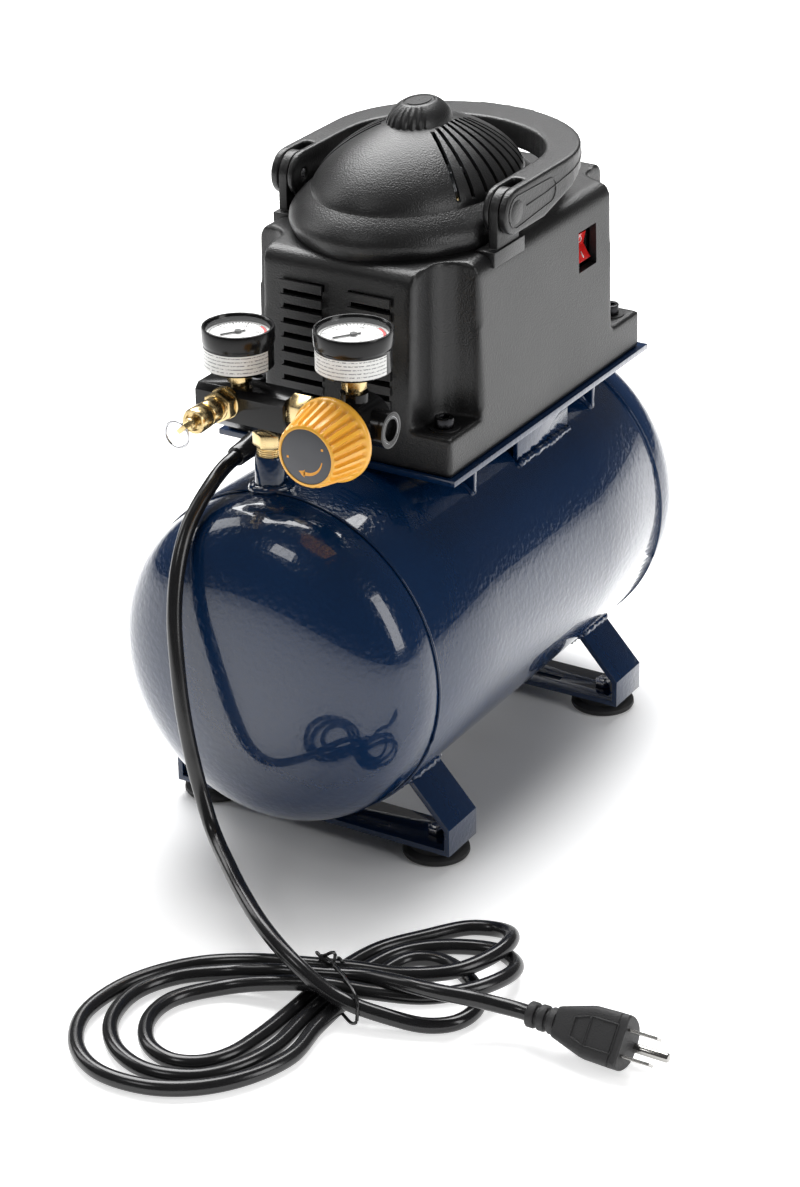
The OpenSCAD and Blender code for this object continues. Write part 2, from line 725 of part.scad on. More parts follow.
module motor_shaft() {
    color(steel) {
        translate([0, -5, crank_z]) along_y() cylinder(r = shaft_r, h = 131, $fn = 32);
        difference() {
            translate([throw, -4.5, crank_z]) along_y() cylinder(r = big_end_r, h = 9, $fn = 48);
            translate([0, -6, crank_z]) along_y() cylinder(r = shaft_r, h = 12, $fn = 32);
        }
        difference() {
            translate([-16, 7, crank_z - 11]) cube([20, 8, 22]);
            translate([0, 6, crank_z]) along_y() cylinder(r = shaft_r, h = 10, $fn = 32);
        }
    }
}

module motor_rotor() {
    color("#7a5a3a") difference() {
        union() {
            translate([0, 44, crank_z]) along_y() cylinder(r = 22, h = 40, $fn = 48);
            translate([0, 88, crank_z]) along_y() cylinder(r = 12, h = 8, $fn = 48);
            translate([0, 84, crank_z]) along_y() cylinder(r = 15, h = 4, $fn = 48);
        }
        translate([0, 40, crank_z]) along_y() cylinder(r = shaft_r, h = 60, $fn = 32);
    }
}

module motor_stator() {
    color("#6b6e73") difference() {
        union() {
            translate([0, 42, crank_z]) along_y() cylinder(r = 39, h = 44, $fn = 64);
            translate([-30, 46, base_z]) cube([60, 36, 20]);
        }
        translate([0, 40, crank_z]) along_y() cylinder(r = 22.6, h = 50, $fn = 48);
        for (s = [-1, 1]) translate([s * 30 - 3, 50, crank_z - 12]) cube([6, 28, 24]);
    }
}

module bearings() {
    color(steel) for (y = [23, 104]) difference() {
        translate([0, y, crank_z]) along_y() cylinder(r = 11, h = 7, $fn = 48);
        translate([0, y - 1, crank_z]) along_y() cylinder(r = shaft_r + 0.03, h = 9, $fn = 32);
    }
}

module rear_bracket() {
    color(cast) difference() {
        union() {
            translate([-36, 104, base_z]) cube([72, 7, 70]);
            translate([-36, 87, base_z]) cube([72, 24, 5]);
        }
        translate([0, 100, crank_z]) along_y() cylinder(r = 11, h = 20, $fn = 48);
        for (x = [-30, 30]) translate([x, 95, 200]) cylinder(r = 2.6, h = 20, $fn = 24);
    }
}

module fan() {
    color("#2c2c2e") translate([0, 115, crank_z]) along_y() difference() {
        union() {
            cylinder(r = 9, h = 10, $fn = 32);
            for (k = [0:8]) rotate([0, 0, 40 * k]) translate([7, 0, 5]) rotate([38, 0, 0])
                translate([0, -0.9, -5]) cube([27, 1.8, 10]);
        }
        translate([0, 0, -2]) cylinder(r = shaft_r, h = 16, $fn = 32);
    }
}

module discharge_line() {
    line_x = 42;
    color(brass) {
        difference() {
            union() {
                translate([36, -46, 190]) cylinder(r = 8, h = 24, $fn = 32);
                translate([36, -46, 214]) cylinder(r = 9, h = 8, $fn = 6);
            }
            tank_volume();
            translate([36, -46, 180]) cylinder(r = 4, h = 60, $fn = 24);
        }
        tube([[24, 0, 325], [34, -1, 325], [39, -3, 323.5], [line_x, -7, 319], [line_x, -12, 309],
            [line_x, -20, 294], [line_x, -30, 276], [41, -39, 258], [38, -45, 240], [36, -46, 230],
            [36, -46, 222]], 3, [0.3, 1, 0.2], 12);
    }
}

// ---------------------------------------------------------------- mains lead

cord_z = cord_r + 0.2;
drop_route = [[-37, -112.9, 211.7], [-37, -123, 210], [-37, -136, 205], [-37.5, -155.5, 191.5],
    [-35, -171, 173.5], [-31.5, -181, 152], [-26.5, -187.5, 129.5], [-21.5, -191.5, 106],
    [-16, -193.5, 83], [-9, -195, 60], [0, -200, 46], [20, -216, 39], [38.5, -231.5, 36.5],
    [60, -246.5, 32.5], [78, -254.5, 26.5], [92, -257, 20]];
lead_route = [[104, -239, 14], [114.5, -238, 16.5], [126, -239, 19], [140, -241, 21],
    [153, -239, 21], [166, -235, 19.5], [179, -228.5, 16.5], [190.5, -225.5, 15],
    [196.5, -225.5, 15]];
tie_at = [101.5, -244, 0];
tie_turn = 55;
left_lobe = [58, -299];
right_lobe = [137, -203];
lobe_h = 13;
waist_h = 18;
plug_at = [196.5, -225.5, 15];
plug_roll = 50;

function ellipse(c, a, b, turn, n = 36) = [for (i = [0:n - 1]) let (t = 360 * i / n,
    x = a * cos(t), y = b * sin(t)) c + [x * cos(turn) - y * sin(turn), x * sin(turn) + y * cos(turn)]];

module waist(l, w, h) {
    translate(tie_at) rotate([0, 0, tie_turn]) translate([-l / 2, -w / 2, 0]) cube([l, w, h]);
}

module cord_drop() { color(black) tube(drop_route, cord_r, [1, 0.2, 0.1]); }

module cord_bundle() {
    color(black) union() {
        difference() {
            linear_extrude(lobe_h) union() {
                polygon(ellipse(left_lobe, 70, 53, 55));
                polygon(ellipse(right_lobe, 37, 54, 0));
            }
            waist(6, 70, 60);
        }
        translate([0, 0, 0.6]) waist(26, 40, waist_h - 0.6);
    }
}

module cord_tie() {
    color(black) difference() {
        waist(3, 42, waist_h + 1);
        translate([0, 0, 0.6]) waist(5, 40, waist_h - 0.6);
    }
}

module cord_lead() { color(black) tube(lead_route, cord_r, [0, 0, 1]); }

module plug() {
    translate(plug_at) rotate([plug_roll, 0, 0]) {
        color(black) {
            for (x = [0, 5.5, 11]) translate([x, 0, 0]) along_x() cylinder(r = 6.4, h = 3.4, $fn = 32);
            along_x() cylinder(r = 4.8, h = 16, $fn = 32);
            intersection() {
                translate([14.5, 0, 0]) union() {
                    translate([0, 0, -1.6]) along_x() cylinder(r = 13.4, h = 36.5, $fn = 48);
                    translate([0, -13.4, -1.6]) cube([36.5, 26.8, 8.1]);
                }
                translate([0, 0, -20]) linear_extrude(40) polygon([[14.5, -8], [22, -11.5],
                    [34, -13.4], [51, -13.4], [51, 13.4], [34, 13.4], [22, 11.5], [14.5, 8]]);
            }
        }
        color(steel) {
            for (y = [-6.35, 6.35]) translate([50, y - 0.75, -3.2]) cube([16, 1.5, 6.4]);
            translate([50, 0, -11.9]) along_x() cylinder(r = 2.4, h = 19.3, $fn = 24);
        }
    }
}

tank_shell();
tank_head_front();
tank_head_rear();
outlet_bung();
drain_bung();
drain_valve_body();
drain_screw();
foot_bracket_front();
foot_bracket_rear();
rubber_feet();
foot_screws();
saddle_plate();
saddle_brackets();
shroud();
dome_cover();
dome_cap();
handle();
handle_posts();
handle_pins();
shroud_screws();
switch_body();
rocker();
strain_relief();
manifold();
elbow_fitting();
manifold_nipple();
tank_gauge();
tank_gauge_dial();
tank_gauge_needle();
tank_gauge_lens();
outlet_gauge();
outlet_gauge_dial();
outlet_gauge_needle();
outlet_gauge_lens();
regulator_body();
regulator_diaphragm();
regulator_spring();
regulator_knob();
knob_disc();
relief_body();
relief_stem();
pull_ring();
pump_frame();
pump_cylinder();
valve_plate();
cylinder_head();
piston();
connecting_rod();
motor_shaft();
motor_rotor();
motor_stator();
bearings();
rear_bracket();
fan();
discharge_line();
cord_drop();
cord_bundle();
cord_tie();
cord_lead();
plug();
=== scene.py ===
"""Looks of the small tank air compressor, on its CAD frame. Metres, +Z up, gauges at -Y."""
import json
import math
import random

import bmesh
import bpy
from mathutils import Matrix, Vector

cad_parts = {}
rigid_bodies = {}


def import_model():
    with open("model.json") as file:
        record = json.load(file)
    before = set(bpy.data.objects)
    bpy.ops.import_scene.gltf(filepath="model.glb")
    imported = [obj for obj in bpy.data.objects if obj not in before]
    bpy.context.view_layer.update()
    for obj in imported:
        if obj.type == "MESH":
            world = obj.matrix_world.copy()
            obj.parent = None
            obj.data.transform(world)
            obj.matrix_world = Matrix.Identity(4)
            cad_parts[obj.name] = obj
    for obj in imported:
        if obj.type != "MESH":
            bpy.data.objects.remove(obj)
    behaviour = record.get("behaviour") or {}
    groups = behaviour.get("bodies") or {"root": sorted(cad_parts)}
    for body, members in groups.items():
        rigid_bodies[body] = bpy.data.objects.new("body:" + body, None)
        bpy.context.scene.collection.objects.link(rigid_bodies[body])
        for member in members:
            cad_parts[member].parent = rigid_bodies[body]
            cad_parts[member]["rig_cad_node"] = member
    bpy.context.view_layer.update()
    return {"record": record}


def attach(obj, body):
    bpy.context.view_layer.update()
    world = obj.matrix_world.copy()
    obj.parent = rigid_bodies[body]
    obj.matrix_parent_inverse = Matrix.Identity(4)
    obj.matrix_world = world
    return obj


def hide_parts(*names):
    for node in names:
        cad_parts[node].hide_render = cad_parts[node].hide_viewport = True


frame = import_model()
MM = 0.001
UP, RIGHT, FORWARD = (0, 0, 1), (1, 0, 0), (0, -1, 0)
SIDES = ((-1, "l"), (1, "r"))


# ------------------------------------------------------------------ camera
CAMERA_AT = (0.7956, -1.3533, 0.8583)
CAMERA_RIGHT, CAMERA_BACK = (0.8622, 0.5065, -0.0089), (0.4589, -0.7735, 0.4372)
LENS, SENSOR = 96.57, 36


def make_camera():
    right = Vector(CAMERA_RIGHT).normalized()
    back = Vector(CAMERA_BACK).normalized()
    up = back.cross(right).normalized()
    right = up.cross(back).normalized()
    data = bpy.data.cameras.new("camera")
    data.sensor_fit = "VERTICAL"
    data.sensor_height = SENSOR
    data.lens = LENS
    data.clip_end = 50
    camera = bpy.data.objects.new("camera", data)
    turn = Matrix((right, up, back)).transposed().to_4x4()
    camera.matrix_world = Matrix.Translation(CAMERA_AT) @ turn
    bpy.context.scene.collection.objects.link(camera)
    bpy.context.scene.camera = camera


make_camera()

# ------------------------------------------------------------------ shader helpers


class Wire:
    """A socket that adds its Math nodes when it is used in an expression."""

    def __init__(self, paint, socket):
        self.paint, self.socket = paint, socket

    def _math(self, operation, a, b=None):
        return self.paint.node("ShaderNodeMath", {"operation": operation},
                               {0: a} if b is None else {0: a, 1: b})

    def __add__(self, other):
        return self._math("ADD", self, other)

    def __mul__(self, other):
        return self._math("MULTIPLY", self, other)

    def __rmul__(self, other):
        return self._math("MULTIPLY", other, self)

    def __gt__(self, other):
        return self._math("GREATER_THAN", self, other)

    def __lt__(self, other):
        return self._math("LESS_THAN", self, other)

    def fract(self):
        return self._math("FRACT", self)


class Paint:
    """One material with its Principled shader and the nodes that feed it."""

    def __init__(self, name, **constants):
        self.material = bpy.data.materials.new(name)
        self.material.use_nodes = True
        self.tree = self.material.node_tree
        self.shader = self.tree.nodes["Principled BSDF"]
        self.set(**constants)
        self.place = self.node("ShaderNodeTexCoord", {}, {}, "Object")

    def set(self, **values):
        """Constants or wires on the shader's sockets, with _ for each space."""
        for name, value in values.items():
            self.feed(self.shader.inputs[name.replace("_", " ")], value)

    def feed(self, socket, value):
        if isinstance(value, Wire):
            self.tree.links.new(value.socket, socket)
        else:
            socket.default_value = value

    def node(self, kind, settings, values, output=0):
        made = self.tree.nodes.new(kind)
        for name, value in settings.items():
            setattr(made, name, value)
        for name, value in values.items():
            self.feed(made.inputs[name], value)
        return Wire(self, made.outputs[output])

    def noise(self, scale, detail=2.0):
        """Soft random cloud, scale blobs to the metre."""
        return self.node("ShaderNodeTexNoise", {}, {"Vector": self.place, "Scale": scale,
                         "Detail": detail, "Roughness": 0.5})

    def mix(self, factor, a, b):
        """Colour a where the factor is 0, b where it is 1."""
        return self.node("ShaderNodeMix", {"data_type": "RGBA"}, {0: factor, 6: a, 7: b}, 2)

    def parts(self):
        """The object-space x, y and z of the point."""
        split = self.tree.nodes.new("ShaderNodeSeparateXYZ")
        self.tree.links.new(self.place.socket, split.inputs[0])
        return [Wire(self, out) for out in split.outputs]

    def spread(self, value, low, high):
        """A 0..1 value turned into low..high."""
        return value * (high - low) + low

    def bump(self, height, strength, distance):
        """Fine relief of a height from 0 to 1, distance deep in metres."""
        self.set(Normal=self.node("ShaderNodeBump", {}, {
            "Height": height, "Strength": strength, "Distance": distance}))


def navy_enamel():
    """Deep gloss enamel under a clear skin, with a little orange peel."""
    paint = Paint("navy_enamel", Specular_IOR_Level=0.2, Coat_Weight=0.9, Coat_Roughness=0.04)
    cloud = paint.noise(9, 3)
    paint.set(Base_Color=paint.mix(cloud, (0.0012, 0.013, 0.046, 1), (0.0025, 0.022, 0.074, 1)),
              Roughness=paint.spread(paint.noise(30, 2), 0.16, 0.24))
    paint.bump(paint.noise(320, 1.0), 0.4, 0.0009)
    return paint.material


def moulded_black(name="moulded_black", rough=(0.3, 0.44), grain=0.55, colour=0.0095):
    """Black moulding with a fine leather grain."""
    paint = Paint(name, Specular_IOR_Level=0.5)
    cloud = paint.noise(14, 3)
    paint.set(Base_Color=paint.mix(cloud, (colour * 0.8, colour * 0.8, colour * 0.85, 1),
                                   (colour * 1.3, colour * 1.3, colour * 1.35, 1)),
              Roughness=paint.spread(cloud, *rough))
    paint.bump(paint.noise(1150, 1.0), grain, 0.0004)
    return paint.material


def smooth_black(name, rough=0.14, colour=0.006):
    """Black moulding without a grain, glossy or dull."""
    paint = Paint(name, Specular_IOR_Level=0.3)
    paint.set(Base_Color=(colour, colour, colour * 1.08, 1),
              Roughness=paint.spread(paint.noise(40, 3), rough, rough + 0.12))
    paint.bump(paint.noise(300, 1.0), 0.06, 0.0002)
    return paint.material


def machined_brass():
    """Bare brass, brighter and duller in patches."""
    paint = Paint("machined_brass", Metallic=1.0)
    cloud = paint.noise(120, 3)
    paint.set(Base_Color=paint.mix(cloud, (0.56, 0.42, 0.2, 1), (0.78, 0.61, 0.33, 1)),
              Roughness=paint.spread(paint.noise(260, 2), 0.16, 0.34))
    paint.bump(paint.noise(900, 1.0), 0.08, 0.0002)
    return paint.material


def plated_steel(name="plated_steel", colour=(0.62, 0.62, 0.64), rough=(0.18, 0.34)):
    """Plated or blackened steel."""
    paint = Paint(name, Metallic=1.0)
    cloud = paint.noise(180, 3)
    dim = tuple(c * 0.8 for c in colour) + (1,)
    paint.set(Base_Color=paint.mix(cloud, dim, (*colour, 1)), Roughness=paint.spread(cloud, *rough))
    paint.bump(paint.noise(1200, 1.0), 0.05, 0.0002)
    return paint.material


def coloured_plastic(name, dark, light, rough, grain=0.05, coat=0.0):
    """Coloured plastic or printing ink, a little uneven between two shades."""
    paint = Paint(name, Specular_IOR_Level=0.5, Coat_Weight=coat, Coat_Roughness=0.08)
    cloud = paint.noise(40, 3)
    paint.set(Base_Color=paint.mix(cloud, (*dark, 1), (*light, 1)),
              Roughness=paint.spread(cloud, rough, rough + 0.1))
    paint.bump(paint.noise(700, 1.0), grain, 0.0002)
    return paint.material


def lead_rubber():
    """The smooth sheath of the mains lead."""
    paint = Paint("lead_rubber", Specular_IOR_Level=0.5)
    cloud = paint.noise(60, 3)
    paint.set(Base_Color=paint.mix(cloud, (0.008, 0.008, 0.009, 1), (0.016, 0.016, 0.017, 1)),
              Roughness=paint.spread(cloud, 0.16, 0.25))
    paint.bump(paint.noise(500, 1.0), 0.06, 0.0002)
    return paint.material


def cast_alloy():
    """Grainy cast aluminium of the pump."""
    paint = Paint("cast_alloy", Metallic=0.85)
    cloud = paint.noise(200, 4)
    paint.set(Base_Color=paint.mix(cloud, (0.36, 0.37, 0.39, 1), (0.5, 0.51, 0.53, 1)),
              Roughness=paint.spread(cloud, 0.38, 0.6))
    paint.bump(paint.noise(800, 2.0), 0.25, 0.0004)
    return paint.material


def stacked_steel(name, colour):
    """Motor laminations, one to the millimetre along the shaft."""
    paint = Paint(name, Metallic=0.7)
    line = (paint.parts()[1] * 1000).fract()
    dim = tuple(c * 0.55 for c in colour) + (1,)
    paint.set(Base_Color=paint.mix(line, dim, (*colour, 1)),
              Roughness=paint.spread(paint.noise(300), 0.35, 0.55))
    paint.bump(line, 0.2, 0.0003)
    return paint.material


def clear_window():
    """Thin clear plastic, almost unseen."""
    paint = Paint("clear_window", Base_Color=(0.97, 0.98, 0.98, 1), IOR=1.3, Alpha=0.03,
                  Specular_IOR_Level=0.3)
    paint.set(Roughness=paint.spread(paint.noise(50), 0.01, 0.04))
    return paint.material


def printed_paper(name, ink_rows=False):
    """White print; with ink_rows, faint grey rules run round it as on a plain label."""
    paint = Paint(name, Specular_IOR_Level=0.45)
    white = (0.82, 0.82, 0.8, 1)
    if ink_rows:
        rule = (paint.parts()[2] * 520).fract() < 0.3
        broken = paint.noise(1500, 0.0) > 0.44
        paint.set(Base_Color=paint.mix(rule * broken * 0.85, white, (0.16, 0.16, 0.17, 1)))
    else:
        paint.set(Base_Color=paint.mix(paint.noise(30), white, (0.86, 0.86, 0.85, 1)))
    paint.set(Roughness=paint.spread(paint.noise(60), 0.3, 0.42))
    return paint.material


NAVY = navy_enamel()
BLACK = moulded_black()
SLICK = smooth_black("slick_black")
DULL = smooth_black("dull_black", 0.45, 0.012)
RUBBER = moulded_black("pad_rubber", (0.55, 0.75), 0.2, 0.014)
LEAD = lead_rubber()
PLUG = moulded_black("plug_moulding", (0.5, 0.66), 0.5, 0.026)
BRASS = machined_brass()
STEEL = plated_steel()
OXIDE = plated_steel("black_oxide", (0.035, 0.035, 0.038), (0.22, 0.36))
BLADE = plated_steel("plug_blade", (0.5, 0.49, 0.47), (0.12, 0.24))
RED = coloured_plastic("rocker_red", (0.5, 0.008, 0.008), (0.7, 0.015, 0.012), 0.15, 0.03, 0.6)
YELLOW = coloured_plastic("knob_yellow", (0.86, 0.41, 0.03), (0.93, 0.48, 0.05), 0.3, 0.08, 0.25)
DISC = coloured_plastic("disc_grey", (0.06, 0.062, 0.07), (0.075, 0.077, 0.088), 0.4)
PRINT = coloured_plastic("print_orange", (0.82, 0.34, 0.02), (0.88, 0.4, 0.04), 0.4)
INK = coloured_plastic("ink_black", (0.01, 0.01, 0.01), (0.02, 0.02, 0.02), 0.5)
INK_RED = coloured_plastic("ink_red", (0.55, 0.01, 0.01), (0.65, 0.02, 0.02), 0.5)
WHITE = coloured_plastic("print_white", (0.7, 0.7, 0.7), (0.8, 0.8, 0.8), 0.4)
DIAL = printed_paper("dial_paper")
LABEL = printed_paper("label_paper", True)
WINDOW = clear_window()
ALLOY = cast_alloy()
STATOR = stacked_steel("stator_stack", (0.2, 0.21, 0.23))
ROTOR = stacked_steel("rotor_stack", (0.42, 0.24, 0.12))

# The first paint of a slot is for frame nodes that are shown as they are.
PAINTS_OF_SLOT = {
    "navy_paint": [NAVY], "shroud_plastic": [BLACK], "gloss_black": [SLICK], "rubber": [RUBBER],
    "cord_black": [LEAD, PLUG], "brass": [BRASS], "zinc_steel": [STEEL, BLADE],
    "black_steel": [OXIDE, DULL], "red_plastic": [RED], "yellow_plastic": [YELLOW, PRINT],
    "grey_print": [DISC], "dial_white": [DIAL, LABEL, INK, INK_RED, WHITE],
    "clear_lens": [WINDOW], "cast_alloy": [ALLOY], "rotor_metal": [ROTOR],
    "stator_steel": [STATOR]}


# ------------------------------------------------------------------ mesh helpers
def add_piece(name, data, paint, nodes=(), body="base", smooth=True):
    """Links one piece, paints it, and hangs it on its body in place of the frame's nodes."""
    made = bpy.data.objects.new(name, data)
    bpy.context.scene.collection.objects.link(made)
    data.materials.clear()
    data.materials.append(paint)
    if smooth and isinstance(data, bpy.types.Mesh):
        data.shade_smooth()
    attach(made, body)
    if nodes:
        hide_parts(*nodes)
    return made


def mesh_of(name, points, faces):
    data = bpy.data.meshes.new(name)
    data.from_pydata([tuple(p) for p in points], [], [tuple(f) for f in faces])
    data.validate()
    return data


def written(bm, data):
    """Writes a bmesh into a mesh and frees it."""
    bm.to_mesh(data)
    bm.free()
    return data


def skin(rows, sides, caps=False):
    """The faces between rows of points, sides points to a row, and over both ends if capped."""
    faces = [(j * sides + k, j * sides + (k + 1) % sides, (j + 1) * sides + (k + 1) % sides,
              (j + 1) * sides + k) for j in range(rows - 1) for k in range(sides)]
    if caps:
        faces += [list(range(sides))[::-1], [(rows - 1) * sides + k for k in range(sides)]]
    return faces


def apply_modifiers(made):
    """Bakes a piece's modifiers into its mesh."""
    bpy.context.view_layer.update()
    shape = made.evaluated_get(bpy.context.evaluated_depsgraph_get())
    data = bpy.data.meshes.new_from_object(shape)
    old, made.data = made.data, data
    made.modifiers.clear()
    bpy.data.meshes.remove(old)
    return made


def crisp(data, angle=35):
    """Smooth shading with edges sharper than angle left sharp."""
    data.shade_smooth()
    data.set_sharp_from_angle(angle=math.radians(angle))


def frame_node(node):
    return next(o for o in bpy.data.objects if o.get("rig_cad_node") == node)


def node_paint(node, paint):
    """Paints a frame node that is shown as it is."""
    data = frame_node(node).data
    data.materials.clear()
    data.materials.append(paint)
    crisp(data)


def copy_mesh(node):
    """A clean copy of a frame node's mesh: welded, with flat faces made whole."""
    bm = bmesh.new()
    bm.from_mesh(frame_node(node).data)
    bmesh.ops.remove_doubles(bm, verts=bm.verts, dist=1e-6)
    bmesh.ops.dissolve_limit(bm, angle_limit=math.radians(0.6), verts=bm.verts, edges=bm.edges)
    return written(bm, bpy.data.meshes.new(node + "_copy"))


def body_of(node):
    return next(name for name, nodes in frame["record"]["behaviour"]["bodies"].items()
                if node in nodes)


def eased(node, paint, width=0.5, segments=2, angle=35):
    """A frame node's shape with its sharp edges broken, standing for the node."""
    made = add_piece(node + "_eased", copy_mesh(node), paint, [node], body_of(node))
    bevel = made.modifiers.new("ease", "BEVEL")
    bevel.width, bevel.segments = width * MM, segments
    bevel.limit_method, bevel.angle_limit = "ANGLE", math.radians(angle)
    bevel.use_clamp_overlap = True
    bevel.harden_normals = False
    apply_modifiers(made)
    crisp(made.data, 40)


def rounded(made, voxel, passes):
    """Rounds a solid all over, the way a moulding is, by remeshing and smoothing it."""
    remesh = made.modifiers.new("remesh", "REMESH")
    remesh.mode, remesh.voxel_size = "VOXEL", voxel * MM
    soften = made.modifiers.new("soften", "SMOOTH")
    soften.factor, soften.iterations = 0.5, passes
    apply_modifiers(made)
    made.data.shade_smooth()


def cut_by(made, tools, way="DIFFERENCE"):
    """Subtracts each tool, or keeps what meets it, and removes the tools."""
    for tool in tools:
        cut = made.modifiers.new("cut", "BOOLEAN")
        cut.operation, cut.object, cut.solver = way, tool, "EXACT"
    apply_modifiers(made)
    for tool in tools:
        bpy.data.objects.remove(tool)


def as_tool(data):
    """A loose object for cutting with."""
    tool = bpy.data.objects.new("tool", data)
    bpy.context.scene.collection.objects.link(tool)
    tool.hide_render = True
    return tool


def box_mesh(low, high):
    """A box between two corners in millimetres."""
    bm = bmesh.new()
    bmesh.ops.create_cube(bm, size=1)
    size = [(b - a) * MM for a, b in zip(low, high)]
    centre = [(b + a) / 2 * MM for a, b in zip(low, high)]
    bmesh.ops.scale(bm, vec=size, verts=bm.verts)
    bmesh.ops.translate(bm, vec=centre, verts=bm.verts)
    return written(bm, bpy.data.meshes.new("box"))


def prism_mesh(outline, low, high, plane="XY"):
    """A closed prism of an outline in millimetres, from low to high along the third axis."""
    order = {"XY": lambda a, b, c: (a, b, c), "XZ": lambda a, b, c: (a, c, b),
             "YZ": lambda a, b, c: (c, a, b)}[plane]
    n = len(outline)
    points = [Vector(order(a, b, c)) * MM for c in (low, high) for a, b in outline]
    faces = [list(range(n))[::-1], list(range(n, 2 * n)), *skin(2, n)]
    data = mesh_of("prism", points, faces)
    bm = bmesh.new()
    bm.from_mesh(data)
    bmesh.ops.recalc_face_normals(bm, faces=bm.faces)
    return written(bm, data)


def turned(name, profile, place, axis, paint, nodes=(), body="base", sides=64,
           ribs=0, rib_depth=0.0, ribbed=(0, 0), sharp=38):
    """A turned shape: profile of (radius, height) in millimetres about an axis from place.
    With ribs, the rows between the two heights in ribbed are fluted."""
    turn = Vector(axis).normalized().to_track_quat("Z", "Y").to_matrix()
    place = Vector(place)
    points = []
    for r, h in profile:
        for k in range(sides):
            t = 2 * math.pi * k / sides
            radius = r
            if ribs and ribbed[0] <= h <= ribbed[1]:
                wave = min(1, max(0, 0.4 - 0.95 * math.cos(t * ribs)))
                radius = r - rib_depth * wave
            points.append((place + turn @ Vector((radius * math.cos(t), radius * math.sin(t), h)))
                          * MM)
    data = mesh_of(name, points, skin(len(profile), sides, caps=True))
    made = add_piece(name, data, paint, nodes, body)
    crisp(made.data, sharp)
    return made


def bead(name, points, radius, paint, body="base", closed=False, lumpy=0.0, sides=8, seed=1):
    """A round string of metal or rubber along points in millimetres; lumpy makes a weld bead."""
    pick = random.Random(seed)
    n = len(points)
    verts = []
    for k, p in enumerate(points):
        a = Vector(points[(k - 1) % n] if closed or k else points[0])
        b = Vector(points[(k + 1) % n] if closed or k < n - 1 else points[-1])
        way = (b - a).normalized()
        side = way.orthogonal().normalized() if abs(way.z) > 0.95 else \
            way.cross(Vector(UP)).normalized()
        rise = way.cross(side)
        r = radius * (1 + lumpy * (pick.random() - 0.5))
        for j in range(sides):
            t = 2 * math.pi * j / sides
            verts.append((Vector(p) + side * r * math.cos(t) + rise * r * math.sin(t)) * MM)
    faces = skin(n, sides, caps=not closed)
    if closed:
        last = (n - 1) * sides
        faces += [(last + j, last + (j + 1) % sides, (j + 1) % sides, j) for j in range(sides)]
    return add_piece(name, mesh_of(name, verts, faces), paint, (), body)


def arc_of(a, b, radius, start=0, end=360, steps=48):
    """Points of an arc about the point (a, b); a full circle doesn't repeat its first point."""
    cuts = steps if end - start == 360 else steps - 1
    turns = [math.radians(start + (end - start) * k / cuts) for k in range(steps)]
    return [(a + radius * math.cos(t), b + radius * math.sin(t)) for t in turns]


def stroke(name, points, width, lift, paint, body, normal):
    """A flat printed line through points, of one width or a list of them, lifted off."""
    normal = Vector(normal)
    verts = []
    n = len(points)
    widths = width if isinstance(width, list) else [width] * n
    for k, p in enumerate(points):
        way = (Vector(points[min(k + 1, n - 1)]) - Vector(points[max(k - 1, 0)])).normalized()
        side = way.cross(normal).normalized() * widths[k] / 2
        verts += [(Vector(p) + s * side + normal * lift) * MM for s in (-1, 1)]
    faces = [(2 * k, 2 * k + 1, 2 * k + 3, 2 * k + 2) for k in range(n - 1)]
    return add_piece(name, mesh_of(name, verts, faces), paint, (), body, smooth=False)


def join(first, others, name):
    """Makes several pieces of one body into one."""
    bm = bmesh.new()
    paints = []
    for made in [first, *others]:
        paint = made.data.materials[0]
        if paint not in paints:
            paints.append(paint)
        made.data.transform(made.matrix_world)
        begun = len(bm.faces)
        bm.from_mesh(made.data)
        bm.faces.ensure_lookup_table()
        for face in bm.faces[begun:]:
            face.material_index = paints.index(paint)
    first.data.materials.clear()
    for paint in paints:
        first.data.materials.append(paint)
    written(bm, first.data)
    for made in others:
        bpy.data.objects.remove(made)
    first.name = name


